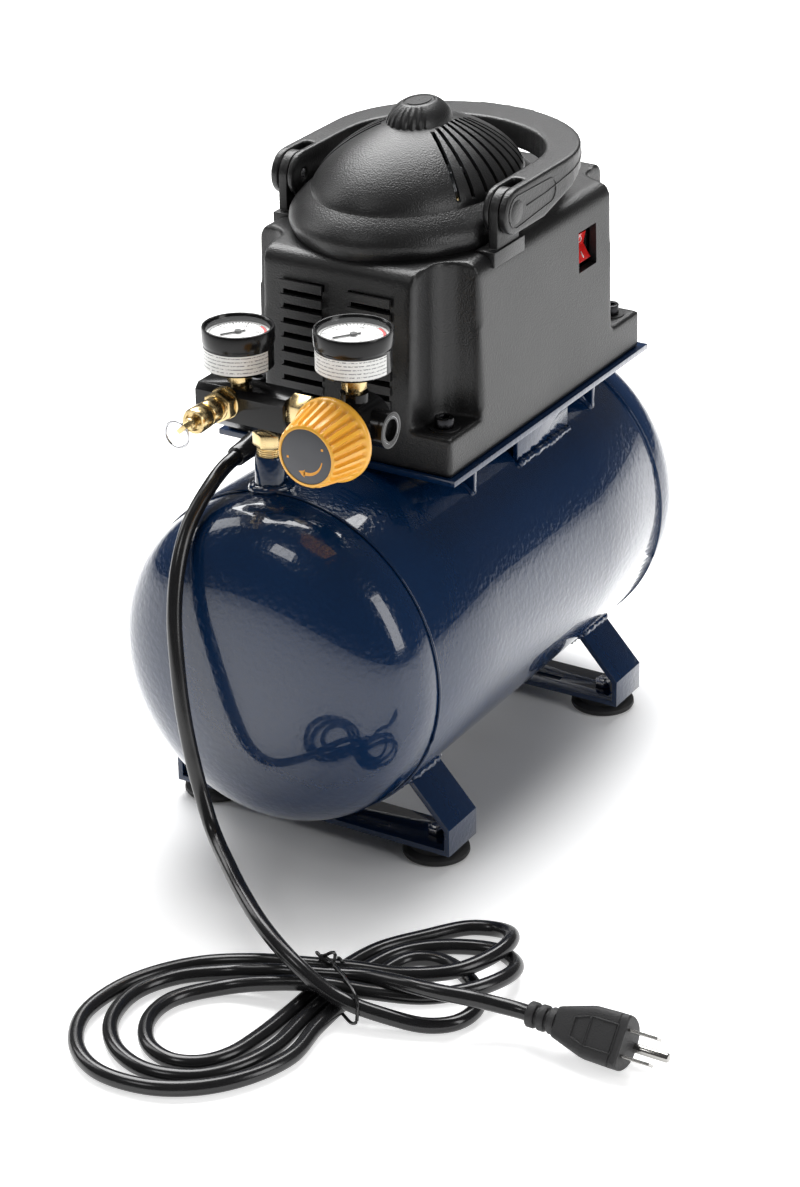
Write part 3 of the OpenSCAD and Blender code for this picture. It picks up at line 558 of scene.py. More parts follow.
# ------------------------------------------------------------------ mains lead
LEAD_RADIUS = 4.0
DROP_EXIT = (-37, -112.9, 211.7)
LEAD_ROUTE = [
    DROP_EXIT, (-37, -123, 210), (-37, -136, 205), (-37.5, -155.5, 191.5), (-35, -171, 173.5),
    (-31.5, -181, 152), (-26.5, -187.5, 129.5), (-21.5, -191.5, 106), (-16, -193.5, 83),
    (-9, -195, 60), (0, -200, 46), (20, -216, 39), (38.5, -231.5, 36.5), (60, -246.5, 32.5),
    (84, -256, 24.5), (108, -257, 13.5), (133.5, -251.5, 7.5), (150.5, -245, 4.5), (161, -235.5, 4),
    (164, -221.5, 4), (156.5, -206, 4), (137, -193, 4), (124, -191.5, 4), (113, -198, 4),
    (107, -221, 4), (105, -245, 4), (105, -272, 4), (107.5, -298.5, 4), (98.5, -323.5, 4),
    (83, -342, 4), (62, -353, 4), (35, -354, 4), (14.5, -342, 4), (1.5, -319, 4), (2, -292.5, 4),
    (11, -270, 4), (26.5, -252, 4.5), (51, -242, 8), (77, -238.5, 12.5), (102.5, -230, 13),
    (125.5, -223, 13), (145.5, -207.5, 13), (154.5, -187, 13), (155, -170, 12), (149, -158.5, 8.5),
    (138, -152.5, 4.5), (125, -157, 4), (109.5, -176, 4), (95.5, -197, 4), (89.5, -219.5, 4),
    (87.5, -243.5, 4), (87, -267.5, 4), (85.5, -291.5, 4), (81.5, -312, 4), (73, -324.5, 4),
    (60, -329.5, 4), (43.5, -324, 4), (31.5, -307, 4), (31, -286.5, 4), (47, -265.5, 4.5),
    (71, -257, 10), (96, -250.5, 13.5), (119, -243.5, 12.5), (144, -234, 12.5), (161.5, -217, 13),
    (168, -199, 11.5), (166, -184, 8), (159, -174.5, 5), (146.5, -169.5, 4), (121.5, -179.5, 4),
    (106, -195, 4), (98.5, -219.5, 4), (96.3, -243.5, 4), (96, -270.5, 4), (96.5, -297, 4),
    (89.5, -320, 4), (76, -336, 4), (53.5, -342, 4), (31.5, -334, 4), (16, -315.5, 4),
    (12, -289.5, 4), (22, -268, 4), (43.5, -253, 5.5), (69.5, -248.5, 11.5), (94, -241, 13.3),
    (114.5, -237, 16), (140, -240.5, 21.2), (154, -239, 21.2), (166, -235, 20), (179, -228.5, 16.5),
    (190.5, -225.5, 15), (196.5, -225.5, 15)]


def smooth_route(points, step):
    """A smooth line through the points, cut to even steps."""
    pts = [Vector(p) for p in points]
    pts = [2 * pts[0] - pts[1]] + pts + [2 * pts[-1] - pts[-2]]
    fine = []
    for k in range(1, len(pts) - 2):
        p0, p1, p2, p3 = pts[k - 1:k + 3]
        t = [0.0]
        for a, b in ((p0, p1), (p1, p2), (p2, p3)):
            t.append(t[-1] + (b - a).length ** 0.5)
        for j in range(12):
            x = t[1] + (t[2] - t[1]) * j / 12
            a1 = p0.lerp(p1, (x - t[0]) / (t[1] - t[0]))
            a2 = p1.lerp(p2, (x - t[1]) / (t[2] - t[1]))
            a3 = p2.lerp(p3, (x - t[2]) / (t[3] - t[2]))
            b1 = a1.lerp(a2, (x - t[0]) / (t[2] - t[0]))
            b2 = a2.lerp(a3, (x - t[1]) / (t[3] - t[1]))
            fine.append(b1.lerp(b2, (x - t[1]) / (t[2] - t[1])))
    fine.append(pts[-2])
    out, walked, want = [fine[0]], 0.0, step
    for a, b in zip(fine, fine[1:]):
        span = (b - a).length
        while walked + span >= want:
            out.append(a.lerp(b, (want - walked) / span))
            want += step
        walked += span
    if (out[-1] - fine[-1]).length > step / 3:
        out.append(fine[-1])
    return out, walked


def make_lead():
    route, length = smooth_route(LEAD_ROUTE, 3.0)
    curve = bpy.data.curves.new("mains_lead", "CURVE")
    curve.dimensions = "3D"
    line = curve.splines.new("POLY")
    line.points.add(len(route) - 1)
    for point, p in zip(line.points, route):
        point.co = (*(p * MM), 1)
    curve.bevel_depth = LEAD_RADIUS * MM
    curve.bevel_resolution = 6
    curve.use_fill_caps = True
    line.use_smooth = True
    return add_piece("mains_lead", curve, LEAD, ["cord_drop", "cord_bundle", "cord_lead"])


def make_plug():
    """Ribbed tail, moulded body with its panels, and pins."""
    place = Vector(LEAD_ROUTE[-1])
    turn = Matrix.Rotation(math.radians(50), 3, "X")
    corners = 40

    def spot(x, y, z):
        return place + turn @ Vector((x, y, z))

    def section(x, half, top, bottom):
        """Flat-topped above, round below, like the real moulding."""
        out = []
        for k in range(corners):
            t = 2 * math.pi * k / corners
            c, s = math.cos(t), math.sin(t)
            above = s > 0
            y = half * math.copysign(abs(c) ** (0.3 if above else 0.85), c)
            z = (top if above else bottom) * abs(s) ** (0.5 if above else 0.95)
            out.append(spot(x, y, z if above else -z))
        return out
    stations = [(14.5, 6.6, 5.0, 6.6), (15.0, 7.6, 5.8, 7.6), (16, 8.0, 6.2, 8.2),
                (31, 12.6, 6.5, 13.4), (33, 13.0, 6.5, 14.0), (46.2, 13.4, 6.5, 14.9),
                (46.5, 12.9, 6.1, 14.4), (47.1, 12.9, 6.1, 14.4), (47.4, 13.4, 6.5, 14.9),
                (50.2, 13.4, 6.5, 14.9), (51, 12.7, 5.8, 14.2)]
    points = [p * MM for station in stations for p in section(*station)]
    data = mesh_of("plug_body", points, skin(len(stations), corners, caps=True))
    body = add_piece("plug_body", data, PLUG, ["plug"])
    crisp(body.data, 32)
    tail = turned("plug_tail", [(4.1, -1), (5.9, -0.6), (6.4, 0), (6.4, 3), (6.0, 3.6), (4.7, 3.8),
                  (4.7, 5.2), (6.0, 5.4), (6.5, 6), (6.5, 8.6), (6.1, 9.2), (4.8, 9.4), (4.8, 10.8),
                  (6.1, 11), (6.6, 11.6), (6.6, 14.6), (5, 15)], place, RIGHT, PLUG, sides=40)
    panels = []
    for k, (x0, x1, w0) in enumerate(((25, 32.5, 4.6), (33.2, 47, 7.2))):
        outline = [spot(x0, -w0, 6.6), spot(x1, -7.2, 6.6), spot(x1, 7.2, 6.6), spot(x0, w0, 6.6)]
        panels.append(bead(f"plug_panel_{k}", [a.lerp(b, j / 6) for a, b in
                      zip(outline, outline[1:] + outline[:1]) for j in range(6)], 0.36, PLUG,
                      closed=True, sides=6))
    pins = []
    for k, y in enumerate((-6.35, 6.35)):
        data = box_mesh((50, y - 0.75, -3.2), (66, y + 0.75, 3.2))
        data.transform(Matrix.Translation(place * MM) @ turn.to_4x4())
        blade = add_piece(f"plug_blade_{k}", data, BLADE, smooth=False)
        ease = blade.modifiers.new("ease", "BEVEL")
        ease.width, ease.segments = 0.3 * MM, 2
        pins.append(apply_modifiers(blade))
    pins.append(turned("plug_ground_pin", [(2.4, 50), (2.4, 68), (2.0, 68.9), (1.1, 69.3)],
                spot(0, 0, -11.9), RIGHT, BLADE, sides=24))
    return [body, tail, *panels, *pins]


def make_tie():
    """A thin black wire twisted round the waist of the bundle, its ends up in a small knot."""
    centre, across = Vector((99.5, -244.5, 8.6)), Vector((-0.819, 0.574, 0))
    lean = Vector((0.9, 1.2, 0))
    wire = 0.9
    loop = []
    for k in range(40):
        t = 2 * math.pi * k / 40
        c, s = math.cos(t), math.sin(t)
        width = 25.5 if c < 0 else 20.5
        spot = centre + across * width * math.copysign(abs(c) ** 0.7, c) + lean * s
        rise = 9.0 * math.copysign(abs(s) ** 0.6, s) + (1.4 if s > 0 else 0.0)
        spot.z = max(spot.z + rise, wire + 0.05)
        loop.append(spot)
    band = bead("lead_tie", loop, wire, LEAD, closed=True)
    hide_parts("cord_tie")
    top = centre + across * 12 + Vector((0, 0, 10))
    ear = [top + Vector((math.cos(a) * 5, math.sin(a) * 3, 1.8 + 2 * math.sin(2 * a)))
           for a in [k * math.pi / 7 for k in range(14)]]
    twist = [top + Vector((5.5 + k * 0.8, 1.5 + math.sin(k) * 0.7, 1.2 + math.cos(k) * 0.7))
             for k in range(6)]
    return [band, bead("lead_tie_ears", ear, wire, LEAD, closed=True),
            bead("lead_tie_twist", twist, wire, LEAD)]


lead = make_lead()
going_with = make_plug() + make_tie()


# ------------------------------------------------------------------ tank and feet
TANK_RADIUS, TANK_Z, SEAM_Y = 90, 114, 125
HEAD_RADIUS, HEAD_DEPTH, HEAD_ROUND = 89.2, 49, 2 / 2.68
FOOT_X, FOOT_Y = 69, (-93.5, 98.5)
STRAP_END, STRAP_HALF = 62.7, 14.8
BUNG_X, FITTING_Y = -12.5, -118


def make_tank():
    """Shell, both heads and the raised lap of each seam, as smooth surfaces."""
    inner = TANK_RADIUS - 2.5
    for name, sign in (("front", -1), ("rear", 1)):
        rows = [(84.9, -12), (inner, -12), (inner, 0)]
        for k in range(41):
            t = math.radians(90 * k / 40)
            rows.append((HEAD_RADIUS * math.cos(t) ** HEAD_ROUND + 0.001,
                         HEAD_DEPTH * math.sin(t) ** HEAD_ROUND))
        turned(f"head_{name}", rows, (0, sign * SEAM_Y, TANK_Z), (0, sign, 0), NAVY,
               [f"tank_head_{name}"], sides=160, sharp=60)
    rows = [(inner, -125), (89.7, -125.2), (90, -124.6), (90, -60), (90, 0), (90, 60), (90, 124.6),
            (89.7, 125.2), (inner, 125)]
    turned("shell", rows, (0, 0, TANK_Z), (0, 1, 0), NAVY, ["tank_shell"], sides=160)
    for k, y in enumerate((-SEAM_Y - 0.3, SEAM_Y + 0.3)):
        bead(f"seam_{k}", [(x, y, z) for x, z in arc_of(0, TANK_Z, 89.8, steps=160)], 0.75, NAVY,
             closed=True, lumpy=0.12)


def on_tank(x, sign=1):
    """Height of the tank's upper or lower surface at x."""
    return TANK_Z + sign * math.sqrt(max(TANK_RADIUS ** 2 - x * x, 0))


def weld(name, points, radius, seed):
    dense = []
    for a, b in zip(points, points[1:]):
        steps = max(2, int((Vector(b) - Vector(a)).length / 1.6))
        dense += [Vector(a).lerp(Vector(b), k / steps) for k in range(steps)]
    dense.append(Vector(points[-1]))
    bead(name, dense, radius, NAVY, lumpy=0.7, seed=seed)


def make_feet():
    """Strap feet welded to the tank, their rubber pads and the pad screws."""
    for node in ("foot_bracket_front", "foot_bracket_rear"):
        eased(node, NAVY, 0.8, 3)
    rows = [(5.5, 0.6), (15.5, 0), (17.4, 0.5), (18, 1.6), (17.8, 3.4), (16.6, 4.4), (14.2, 5.2),
            (13.2, 7.0), (12.4, 7.95), (3, 8)]
    for k, y in enumerate(FOOT_Y):
        for s, side in SIDES:
            for e, edge in enumerate((-STRAP_HALF, STRAP_HALF)):
                points = [(s * x, y + edge, on_tank(x, -1)) for x in (54.5, 56.5, 58.5, 60.5, 62.4)]
                weld(f"strap_weld_{k}_{side}_{e}", points, 1.7, 7 * k + e + s)
            weld(f"strap_cap_{k}_{side}", [(s * STRAP_END, y + d, on_tank(STRAP_END, -1) - 0.3)
                 for d in (-14, -6, 0, 6, 14)], 2.3, 31 + k + s)
            turned(f"pad_{k}_{side}", rows, (s * FOOT_X, y, 0), UP, RUBBER,
                   ["rubber_feet"] if (k, s) == (0, -1) else ())
    eased("foot_screws", STEEL, 0.3, 2)


def make_saddle():
    """Plate and brackets on the tank with their welds, and the bung the fittings stand on."""
    eased("saddle_plate", NAVY, 0.7, 3)
    eased("saddle_brackets", NAVY, 0.5, 2)
    web = (32, 38, 44, 50, 56, 59.5)
    for s, side in SIDES:
        weld(f"tab_weld_{side}", [(s * 60, y, on_tank(60)) for y in range(11, 70, 8)], 2.4, 60 + s)
        weld(f"web_weld_{side}", [(s * x, 96.6, on_tank(x)) for x in web], 2.3, 70 + s)
        weld(f"front_web_weld_{side}", [(s * x, -36.6, on_tank(x)) for x in web], 1.6, 80 + s)
    turned("bung", [(5, 186), (8.2, 186), (8, 219.6), (7.4, 220.8), (5.1, 221)],
           (BUNG_X, FITTING_Y, 0), UP, NAVY, ["outlet_bung"], sides=48)
    bead("bung_weld", [(x, y, on_tank(x) + 0.3) for x, y in arc_of(BUNG_X, FITTING_Y, 9.2)], 2.5,
         NAVY, closed=True, lumpy=0.35, seed=5)


make_tank()
make_feet()
make_saddle()

# ------------------------------------------------------------------ shroud and dome
SHROUD_Y, HALF_W, HALF_L = 31.0, 68.0, 106.0
BASE_Z, CREASE_Z, TOP_Z, NOTCH_Z = 207.0, 304.0, 311.0, 228.0
LOUVRES, LOUVRE_Z, LOUVRE_PITCH = 8, 234, 7.8
DOME_FOOT, DOME_RISE, DOME_A, DOME_B = 331, 34, 50.5, 68.5
DOME_Y = 11


def drafted(half):
    """Outline of a wall pair that leans in to a rounded top edge."""
    side = [(half, BASE_Z), (half - 3, CREASE_Z), (half - 4.2, CREASE_Z + 3.4),
            (half - 6.6, CREASE_Z + 5.8), (half - 10, TOP_Z)]
    return side + [(-x, z) for x, z in reversed(side)]


def oval(a, b, t):
    return a * math.cos(t), DOME_Y + b * math.sin(t)


def make_shroud():
    """The moulded shroud: drafted walls, corner notches, louvres and the switch window."""
    along = [(y + SHROUD_Y, z) for y, z in drafted(HALF_L)]
    shroud = add_piece("shroud_moulding", prism_mesh(along, -90, 90, "YZ"), BLACK, ["shroud"])
    across = prism_mesh(drafted(HALF_W), SHROUD_Y - 115, SHROUD_Y + 115, "XZ")
    cut_by(shroud, [as_tool(across)], "INTERSECT")
    notch = [(77, 73), (62, 73), (53, 75), (47.5, 79), (45, 85), (44.6, 100), (43, 106),
             (42, 115), (77, 115)]
    cut_by(shroud, [as_tool(prism_mesh([(sx * x, SHROUD_Y + sy * y) for x, y in notch],
                    NOTCH_Z, 330)) for sx in (-1, 1) for sy in (-1, 1)])
    rounded(shroud, 1.4, 9)
    heights = [LOUVRE_Z + LOUVRE_PITCH * k for k in range(LOUVRES)]
    boxes = []
    for z in heights:
        boxes.append(((-31.5, -80, z), (-8.5, -66, z + 3.4)))
        boxes.append(((8.5, -80, z), (31.5, -66, z + 3.4)))
    for s in (-1, 1):
        boxes.append(((s * 12 - 5, -80, 293.2), (s * 12 + 5, -66, 296.8)))
    boxes.append(((46, 66, 271.5), (80, 86, 294)))
    hollow = [(61.5, 69), (39.5, 71), (39.5, 100)]
    hollow += [(-x, y) for x, y in reversed(hollow)]
    hollow += [(x, -y) for x, y in reversed(hollow)]
    prisms = [prism_mesh([(x, SHROUD_Y + y) for x, y in hollow], 190, 306.5),
              prism_mesh([oval(51, 70, 2 * math.pi * k / 72) for k in range(72)], 300, 320)]
    cut_by(shroud, [as_tool(data) for data in [box_mesh(*box) for box in boxes] + prisms])
    crisp(shroud.data, 42)
    for k, z in enumerate(heights):
        for s, side in SIDES:
            slat = box_mesh((s * 20 - 12.5, -74.8, z + 3.3), (s * 20 + 12.5, -73.4, z + 7.9))
            add_piece(f"louvre_{k}_{side}", slat, BLACK, smooth=False)
    for k, (x, y) in enumerate([(sx * 56, SHROUD_Y + sy * 92) for sx in (-1, 1) for sy in (-1, 1)]):
        turned(f"screw_washer_{k}", [(3.2, 0), (8, 0), (8.2, 0.5), (8, 1.0), (3.2, 1.0)],
               (x, y, NOTCH_Z - 0.4), UP, DULL, sides=40)
    eased("shroud_screws", OXIDE, 0.35, 2)


def slot_cutter():
    """The radial air slots of the dome, nine to a side, as one tool."""
    bm = bmesh.new()
    for s in (-1, 1):
        for k in range(9):
            turn = Matrix.Rotation(math.radians(s * (-38 + 9.5 * k) + (180 if s < 0 else 0)), 4, "Z")
            spot = Matrix.Translation(Vector((s * 15, -1 + 4.6 * k, 0)) * MM)
            box = bmesh.ops.create_cube(bm, size=1)["verts"]
            bmesh.ops.scale(bm, vec=(0.06, 0.0026, 0.04), verts=box)
            bmesh.ops.translate(bm, vec=(0.03, 0, 0.354), verts=box)
            bmesh.ops.transform(bm, matrix=spot @ turn, verts=box)
    return as_tool(written(bm, bpy.data.meshes.new("slots")))


def make_dome():
    """Bulging ring and dome as one skin, cut by the air slots, and the cap on top."""
    rows = [(309.5, 58, 78.2), (311.2, 58.8, 78.8), (313.5, 60.6, 79.8), (316.5, 62, 80.6),
            (319.5, 61.6, 80.2), (322.5, 59.9, 78.6), (325.5, 57.2, 76.0), (328.2, 54.2, 72.6),
            (330.0, 51.9, 70.0), (331.0, DOME_A, DOME_B)]
    for k in range(1, 31):
        q = math.cos(math.radians(88 * k / 30))
        rows.append((DOME_FOOT + DOME_RISE * (1 - q ** 1.57) ** (1 / 1.57), DOME_A * q, DOME_B * q))
    columns, arm_gap, flat_from = 200, 54.6, -24
    verts = []
    for z, a, b in rows:
        for k in range(columns):
            x, y = oval(a, b, 2 * math.pi * k / columns)
            if z < DOME_FOOT + 0.5 and y > flat_from:
                x = max(-arm_gap, min(arm_gap, x))
            verts.append(Vector((x, y, z)) * MM)
    dome = add_piece("dome_moulding", mesh_of("dome_moulding", verts, skin(len(rows), columns)),
                     BLACK, ["dome_cover"])
    wall = dome.modifiers.new("wall", "SOLIDIFY")
    wall.thickness, wall.offset = 2.2 * MM, -1
    apply_modifiers(dome)
    cut_by(dome, [slot_cutter()])
    crisp(dome.data, 40)
    rows = [(359.5, 15.8, 21.4), (361.2, 15.8, 21.4), (363.6, 15.3, 20.8), (366, 14.2, 19.4),
            (368.2, 12.5, 17.2), (370, 10.6, 14.8), (371.3, 8.7, 12.4), (371.9, 7.6, 11.2),
            (371.7, 7.0, 10.5), (371.3, 6.8, 10.2), (371.3, 5.5, 8.7), (371.8, 5.3, 8.5),
            (371.8, 0.3, 0.3)]
    columns, verts = 144, []
    for z, a, b in rows:
        for k in range(columns):
            t = 2 * math.pi * k / columns
            front = abs((math.degrees(t) - 270 + 180) % 360 - 180) < 50
            dip = 0.9 if front and 360 < z < 371 and k % 6 < 3 else 0.0
            verts.append(Vector(((a - dip) * math.cos(t), 12 + (b - dip) * math.sin(t), z)) * MM)
    cap = add_piece("dome_button", mesh_of("dome_button", verts, skin(len(rows), columns)), BLACK,
                    ["dome_cap"])
    crisp(cap.data, 50)


PIVOT_Y, PIVOT_Z = -11, 330


def make_handle():
    """The carry handle, rounded like a moulding, with its parting line."""
    handle = add_piece("carry_handle_moulding", copy_mesh("handle"), BLACK, ["handle"],
                       "carry_handle")
    rounded(handle, 0.9, 8)
    seam = []
    for k in range(61):
        t = math.pi * k / 60
        y = 43 + 66 * math.sin(t)
        seam.append((70 * math.cos(t), y, 333.6 + 2.9 * min(1, (y - 43) / 30)))
    ends = [(70, -1, 330.5), (70, 20, 331.2)]
    seam = ends + seam + [(-x, y, z) for x, y, z in reversed(ends)]
    bead("handle_parting_line", seam, 0.38, BLACK, "carry_handle", sides=6)
    edge = arc_of(PIVOT_Y, PIVOT_Z, 8.4, 90, 270, 17) + arc_of(24, 331, 6.5, -90, 90, 17)
    for s, side in SIDES:
        bead(f"arm_panel_{side}", [(s * 69.95, y, z) for y, z in edge], 0.45, BLACK,
             "carry_handle", closed=True, sides=6)
    eased("handle_posts", BLACK, 1.2, 3)
    for s, side in SIDES:
        turned(f"pivot_boss_{side}", [(1, -1), (6.5, -1), (6.5, 0.5), (5.9, 0.9), (1, 0.9)],
               (s * 69.3, PIVOT_Y, PIVOT_Z), (s, 0, 0), BLACK, (), "carry_handle", sides=48)


make_shroud()
make_dome()
make_handle()


# ------------------------------------------------------------------ switch
def make_switch():
    """Switch body and rocker, with the ring and bar marks printed on the rocker."""
    eased("switch_body", SLICK, 0.4, 2)
    eased("rocker", RED, 0.6, 3)
    y = 76
    bead("rocker_ring_mark", [(60.75, a, b) for a, b in arc_of(y, 287, 1.7, steps=24)], 0.22,
         WHITE, "rocker_key", closed=True, sides=6)
    bead("rocker_bar_mark", [(63.4, y, 277), (61.6, y, 280.2)], 0.28, WHITE, "rocker_key", sides=6)


make_switch()


# ------------------------------------------------------------------ gauges
SCALE_START, SCALE_SWEEP = 235, 270
DIAL_TOP = -4


def figure_mesh(text, at):
    """A number of the dial as a flat mesh, centred on a point in millimetres."""
    curve = bpy.data.curves.new("figure", "FONT")
    curve.body = text
    curve.size = 3.0 * MM
    curve.align_x = curve.align_y = "CENTER"
    holder = bpy.data.objects.new("figure", curve)
    bpy.context.scene.collection.objects.link(holder)
    holder.matrix_world = Matrix.Translation(at * MM)
    bpy.context.view_layer.update()
    shape = holder.evaluated_get(bpy.context.evaluated_depsgraph_get())
    data = bpy.data.meshes.new_from_object(shape)
    data.transform(holder.matrix_world)
    bpy.data.objects.remove(holder)
    return data


def make_gauge(tag, x, top, rim, body_r):
    """Case with a rolled rim, label band, dial with its scale, needle and window."""
    place = (x, FITTING_Y, top)
    band_low, band_high = -20.6, -10.2
    red_from, red_to = 24, 66
    case_rows = [(3, -22), (body_r - 1.4, -22), (body_r, -20.8), (body_r, -9.6),
                 (body_r + 0.2, -9.0), (rim - 0.4, -8.4), (rim, -7.6), (rim, -0.8),
                 (rim - 0.3, -0.1), (rim - 0.8, 0), (rim - 1.2, -0.1), (rim - 2.3, -1.6),
                 (rim - 2.3, -4.8), (3, -4.9)]
    turned(f"{tag}_gauge_case", case_rows, place, UP, SLICK, [f"{tag}_gauge"], sides=96)

    def spot(r, a, z=DIAL_TOP):
        t = math.radians(a)
        return Vector((x + r * math.cos(t), FITTING_Y + r * math.sin(t), top + z))
    wraps = 60
    wrap = [spot(r, -215 + 213 * k / wraps, h) * MM for k in range(wraps + 1)
            for r, h in ((body_r + 0.12, band_low), (body_r + 0.16, band_high))]
    faces = [(2 * k, 2 * k + 2, 2 * k + 3, 2 * k + 1) for k in range(wraps)]
    add_piece(f"{tag}_gauge_band", mesh_of(f"{tag}_gauge_band", wrap, faces), LABEL)
    turned(f"{tag}_gauge_window", [(0.4, -1.6), (rim - 2.4, -1.6), (rim - 2.35, -1.5),
           (rim - 2.6, -1.2), (0.4, -1.0)], place, UP, WINDOW, [f"{tag}_gauge_lens"], sides=96)
    dial_r = rim - 2.3
    turned(f"{tag}_gauge_face", [(1.1, -4.8), (dial_r, -4.8), (dial_r, DIAL_TOP), (1.1, DIAL_TOP)],
           place, UP, DIAL, [f"{tag}_gauge_dial"], sides=96)
    marks = []
    for k in range(41):
        a = SCALE_START - SCALE_SWEEP * k / 40
        depth, width = (4.6, 0.55) if k % 5 == 0 else (3.4, 0.34)
        marks.append(stroke(f"{tag}_tick_{k}", [spot(dial_r - depth, a), spot(dial_r - 1.6, a)],
                            width, 0.05, INK, "base", UP))
    arc = [spot(dial_r - 1.5, SCALE_START - SCALE_SWEEP * k / 48) for k in range(49)]
    marks.append(stroke(f"{tag}_scale", arc, 0.3, 0.05, INK, "base", UP))
    red = [spot(dial_r - 2.4, red_from + (red_to - red_from) * k / 20) for k in range(21)]
    marks.append(stroke(f"{tag}_red_zone", red, 1.3, 0.07, INK_RED, "base", UP))
    for k in range(0, 9, 2):
        at = spot(dial_r - 6.8, SCALE_START - SCALE_SWEEP * k / 8, DIAL_TOP + 0.06)
        marks.append(add_piece(f"{tag}_figure_{k}", figure_mesh(str(k * 25), at), INK,
                               smooth=False))
    join(marks[0], marks[1:], f"{tag}_gauge_scale")
    eased(f"{tag}_gauge_needle", INK, 0.12, 1)


TANK_GAUGE_X, OUTLET_GAUGE_X = -29.6, 37.8
make_gauge("tank", TANK_GAUGE_X, 286.6, 18.4, 17.7)
make_gauge("outlet", OUTLET_GAUGE_X, 297.9, 20.0, 19.0)

# ------------------------------------------------------------------ fittings
LINE_Z = 248
BUNG_AT, RELIEF_AT = (BUNG_X, FITTING_Y, 0), (-32, -128, LINE_Z)
NIPPLE_AT, PORT_AT = (2, FITTING_Y, LINE_Z), (58.5, FITTING_Y, LINE_Z)
KNOB_X, KNOB_Y, DISC_OUT = 39.5, -140.3, 25.9
PRINT_LIFT = 0.06


def brass_hex(name, place, axis, across, low, high):
    """A hexagon with chamfered corners, between two heights along an axis, on a plain core."""
    turned(name + "_core", [(across * 0.3, low), (across * 0.42, low), (across * 0.42, high),
           (across * 0.3, high)], place, axis, BRASS, sides=36)
    axis = Vector(axis).normalized()
    turn = axis.to_track_quat("Z", "Y").to_matrix().to_4x4()
    middle = Matrix.Translation((Vector(place) + axis * (low + high) / 2) * MM)
    radius = across / math.sqrt(3) * MM
    bm = bmesh.new()
    bmesh.ops.create_cone(bm, cap_ends=True, segments=6, radius1=radius, radius2=radius,
                          depth=(high - low) * MM)
    bmesh.ops.transform(bm, matrix=middle @ turn, verts=bm.verts)
    made = add_piece(name, written(bm, bpy.data.meshes.new(name)), BRASS, smooth=False)
    ease = made.modifiers.new("ease", "BEVEL")
    ease.width, ease.segments, ease.limit_method = 0.7 * MM, 2, "ANGLE"
    apply_modifiers(made)
    crisp(made.data, 30)


def brass_thread(name, place, axis, radius, low, high):
    pitch, root = 1.1, radius - 0.45
    rows, h = [(radius * 0.6, low)], low
    while h < high - pitch:
        rows += [(root, h), (radius, h + pitch * 0.35), (radius, h + pitch * 0.55),
                 (root, h + pitch * 0.95)]
        h += pitch
    rows += [(root, high), (radius * 0.6, high)]
    turned(name, rows, place, axis, BRASS, sides=40)


def make_manifold():
    """Manifold block with the brass fitting under it, the nipple and the gauge stems."""
    eased("manifold", SLICK, 1.6, 3, angle=30)
    brass_thread("bung_thread", BUNG_AT, UP, 6.8, 220.6, 226)
    brass_hex("bung_hex", BUNG_AT, UP, 15.4, 225.6, 233.2)
    turned("bung_cone", [(4, 233), (6.9, 233), (6.4, 234.6), (4, 234.6)], BUNG_AT, UP, BRASS,
           ["elbow_fitting"], sides=40)
    brass_hex("nipple_hex", NIPPLE_AT, RIGHT, 15.2, 0.3, 11)
    brass_thread("nipple_thread", NIPPLE_AT, RIGHT, 6.6, 10.8, 21)
    turned("nipple_washer", [(4, -0.1), (7.4, 0), (7.6, 0.5), (7.4, 1.0), (4, 1.1)], NIPPLE_AT,
           RIGHT, BRASS, ["manifold_nipple"], sides=40)
    for tag, x, z0, z1 in (("tank", TANK_GAUGE_X, 255, 264.7), ("outlet", OUTLET_GAUGE_X, 264.2, 276)):
        foot = (x, FITTING_Y, 0)
        brass_hex(f"{tag}_stem_hex", foot, UP, 11.2, z0 + 1.5, z1 - 2.2)
        turned(f"{tag}_stem", [(3, z0 - 3), (4.6, z0 - 3), (4.6, z0 + 1.6), (4.2, z0 + 1.8),
               (4.2, z1 - 2), (5.6, z1 - 1.6), (5.6, z1 + 0.6), (3, z1 + 0.6)], foot, UP, BRASS,
               sides=40)


def make_outlet():
    """Regulator body and its outlet port with the thread inside."""
    eased("regulator_body", SLICK, 0.9, 3)
    turned("outlet_lip", [(6.6, -6), (6.65, -0.9), (7.0, 0.0), (8.2, 0.12), (9.1, -0.5),
           (9.32, -1.4), (9.32, -3)], PORT_AT, RIGHT, SLICK)
    rows, h = [], -13.0
    while h < -2:
        rows += [(6.6, h), (5.85, h + 0.45), (5.85, h + 0.65), (6.6, h + 1.05)]
        h += 1.1
    rows += [(6.0, -0.9), (6.5, -0.1), (6.9, 0.05), (6.9, -1)]
    inner = turned("outlet_thread", rows, PORT_AT, RIGHT, STEEL, sides=48)
    bm = bmesh.new()
    bm.from_mesh(inner.data)
    bmesh.ops.delete(bm, geom=[f for f in bm.faces if len(f.verts) > 6], context="FACES_ONLY")
    written(bm, inner.data)


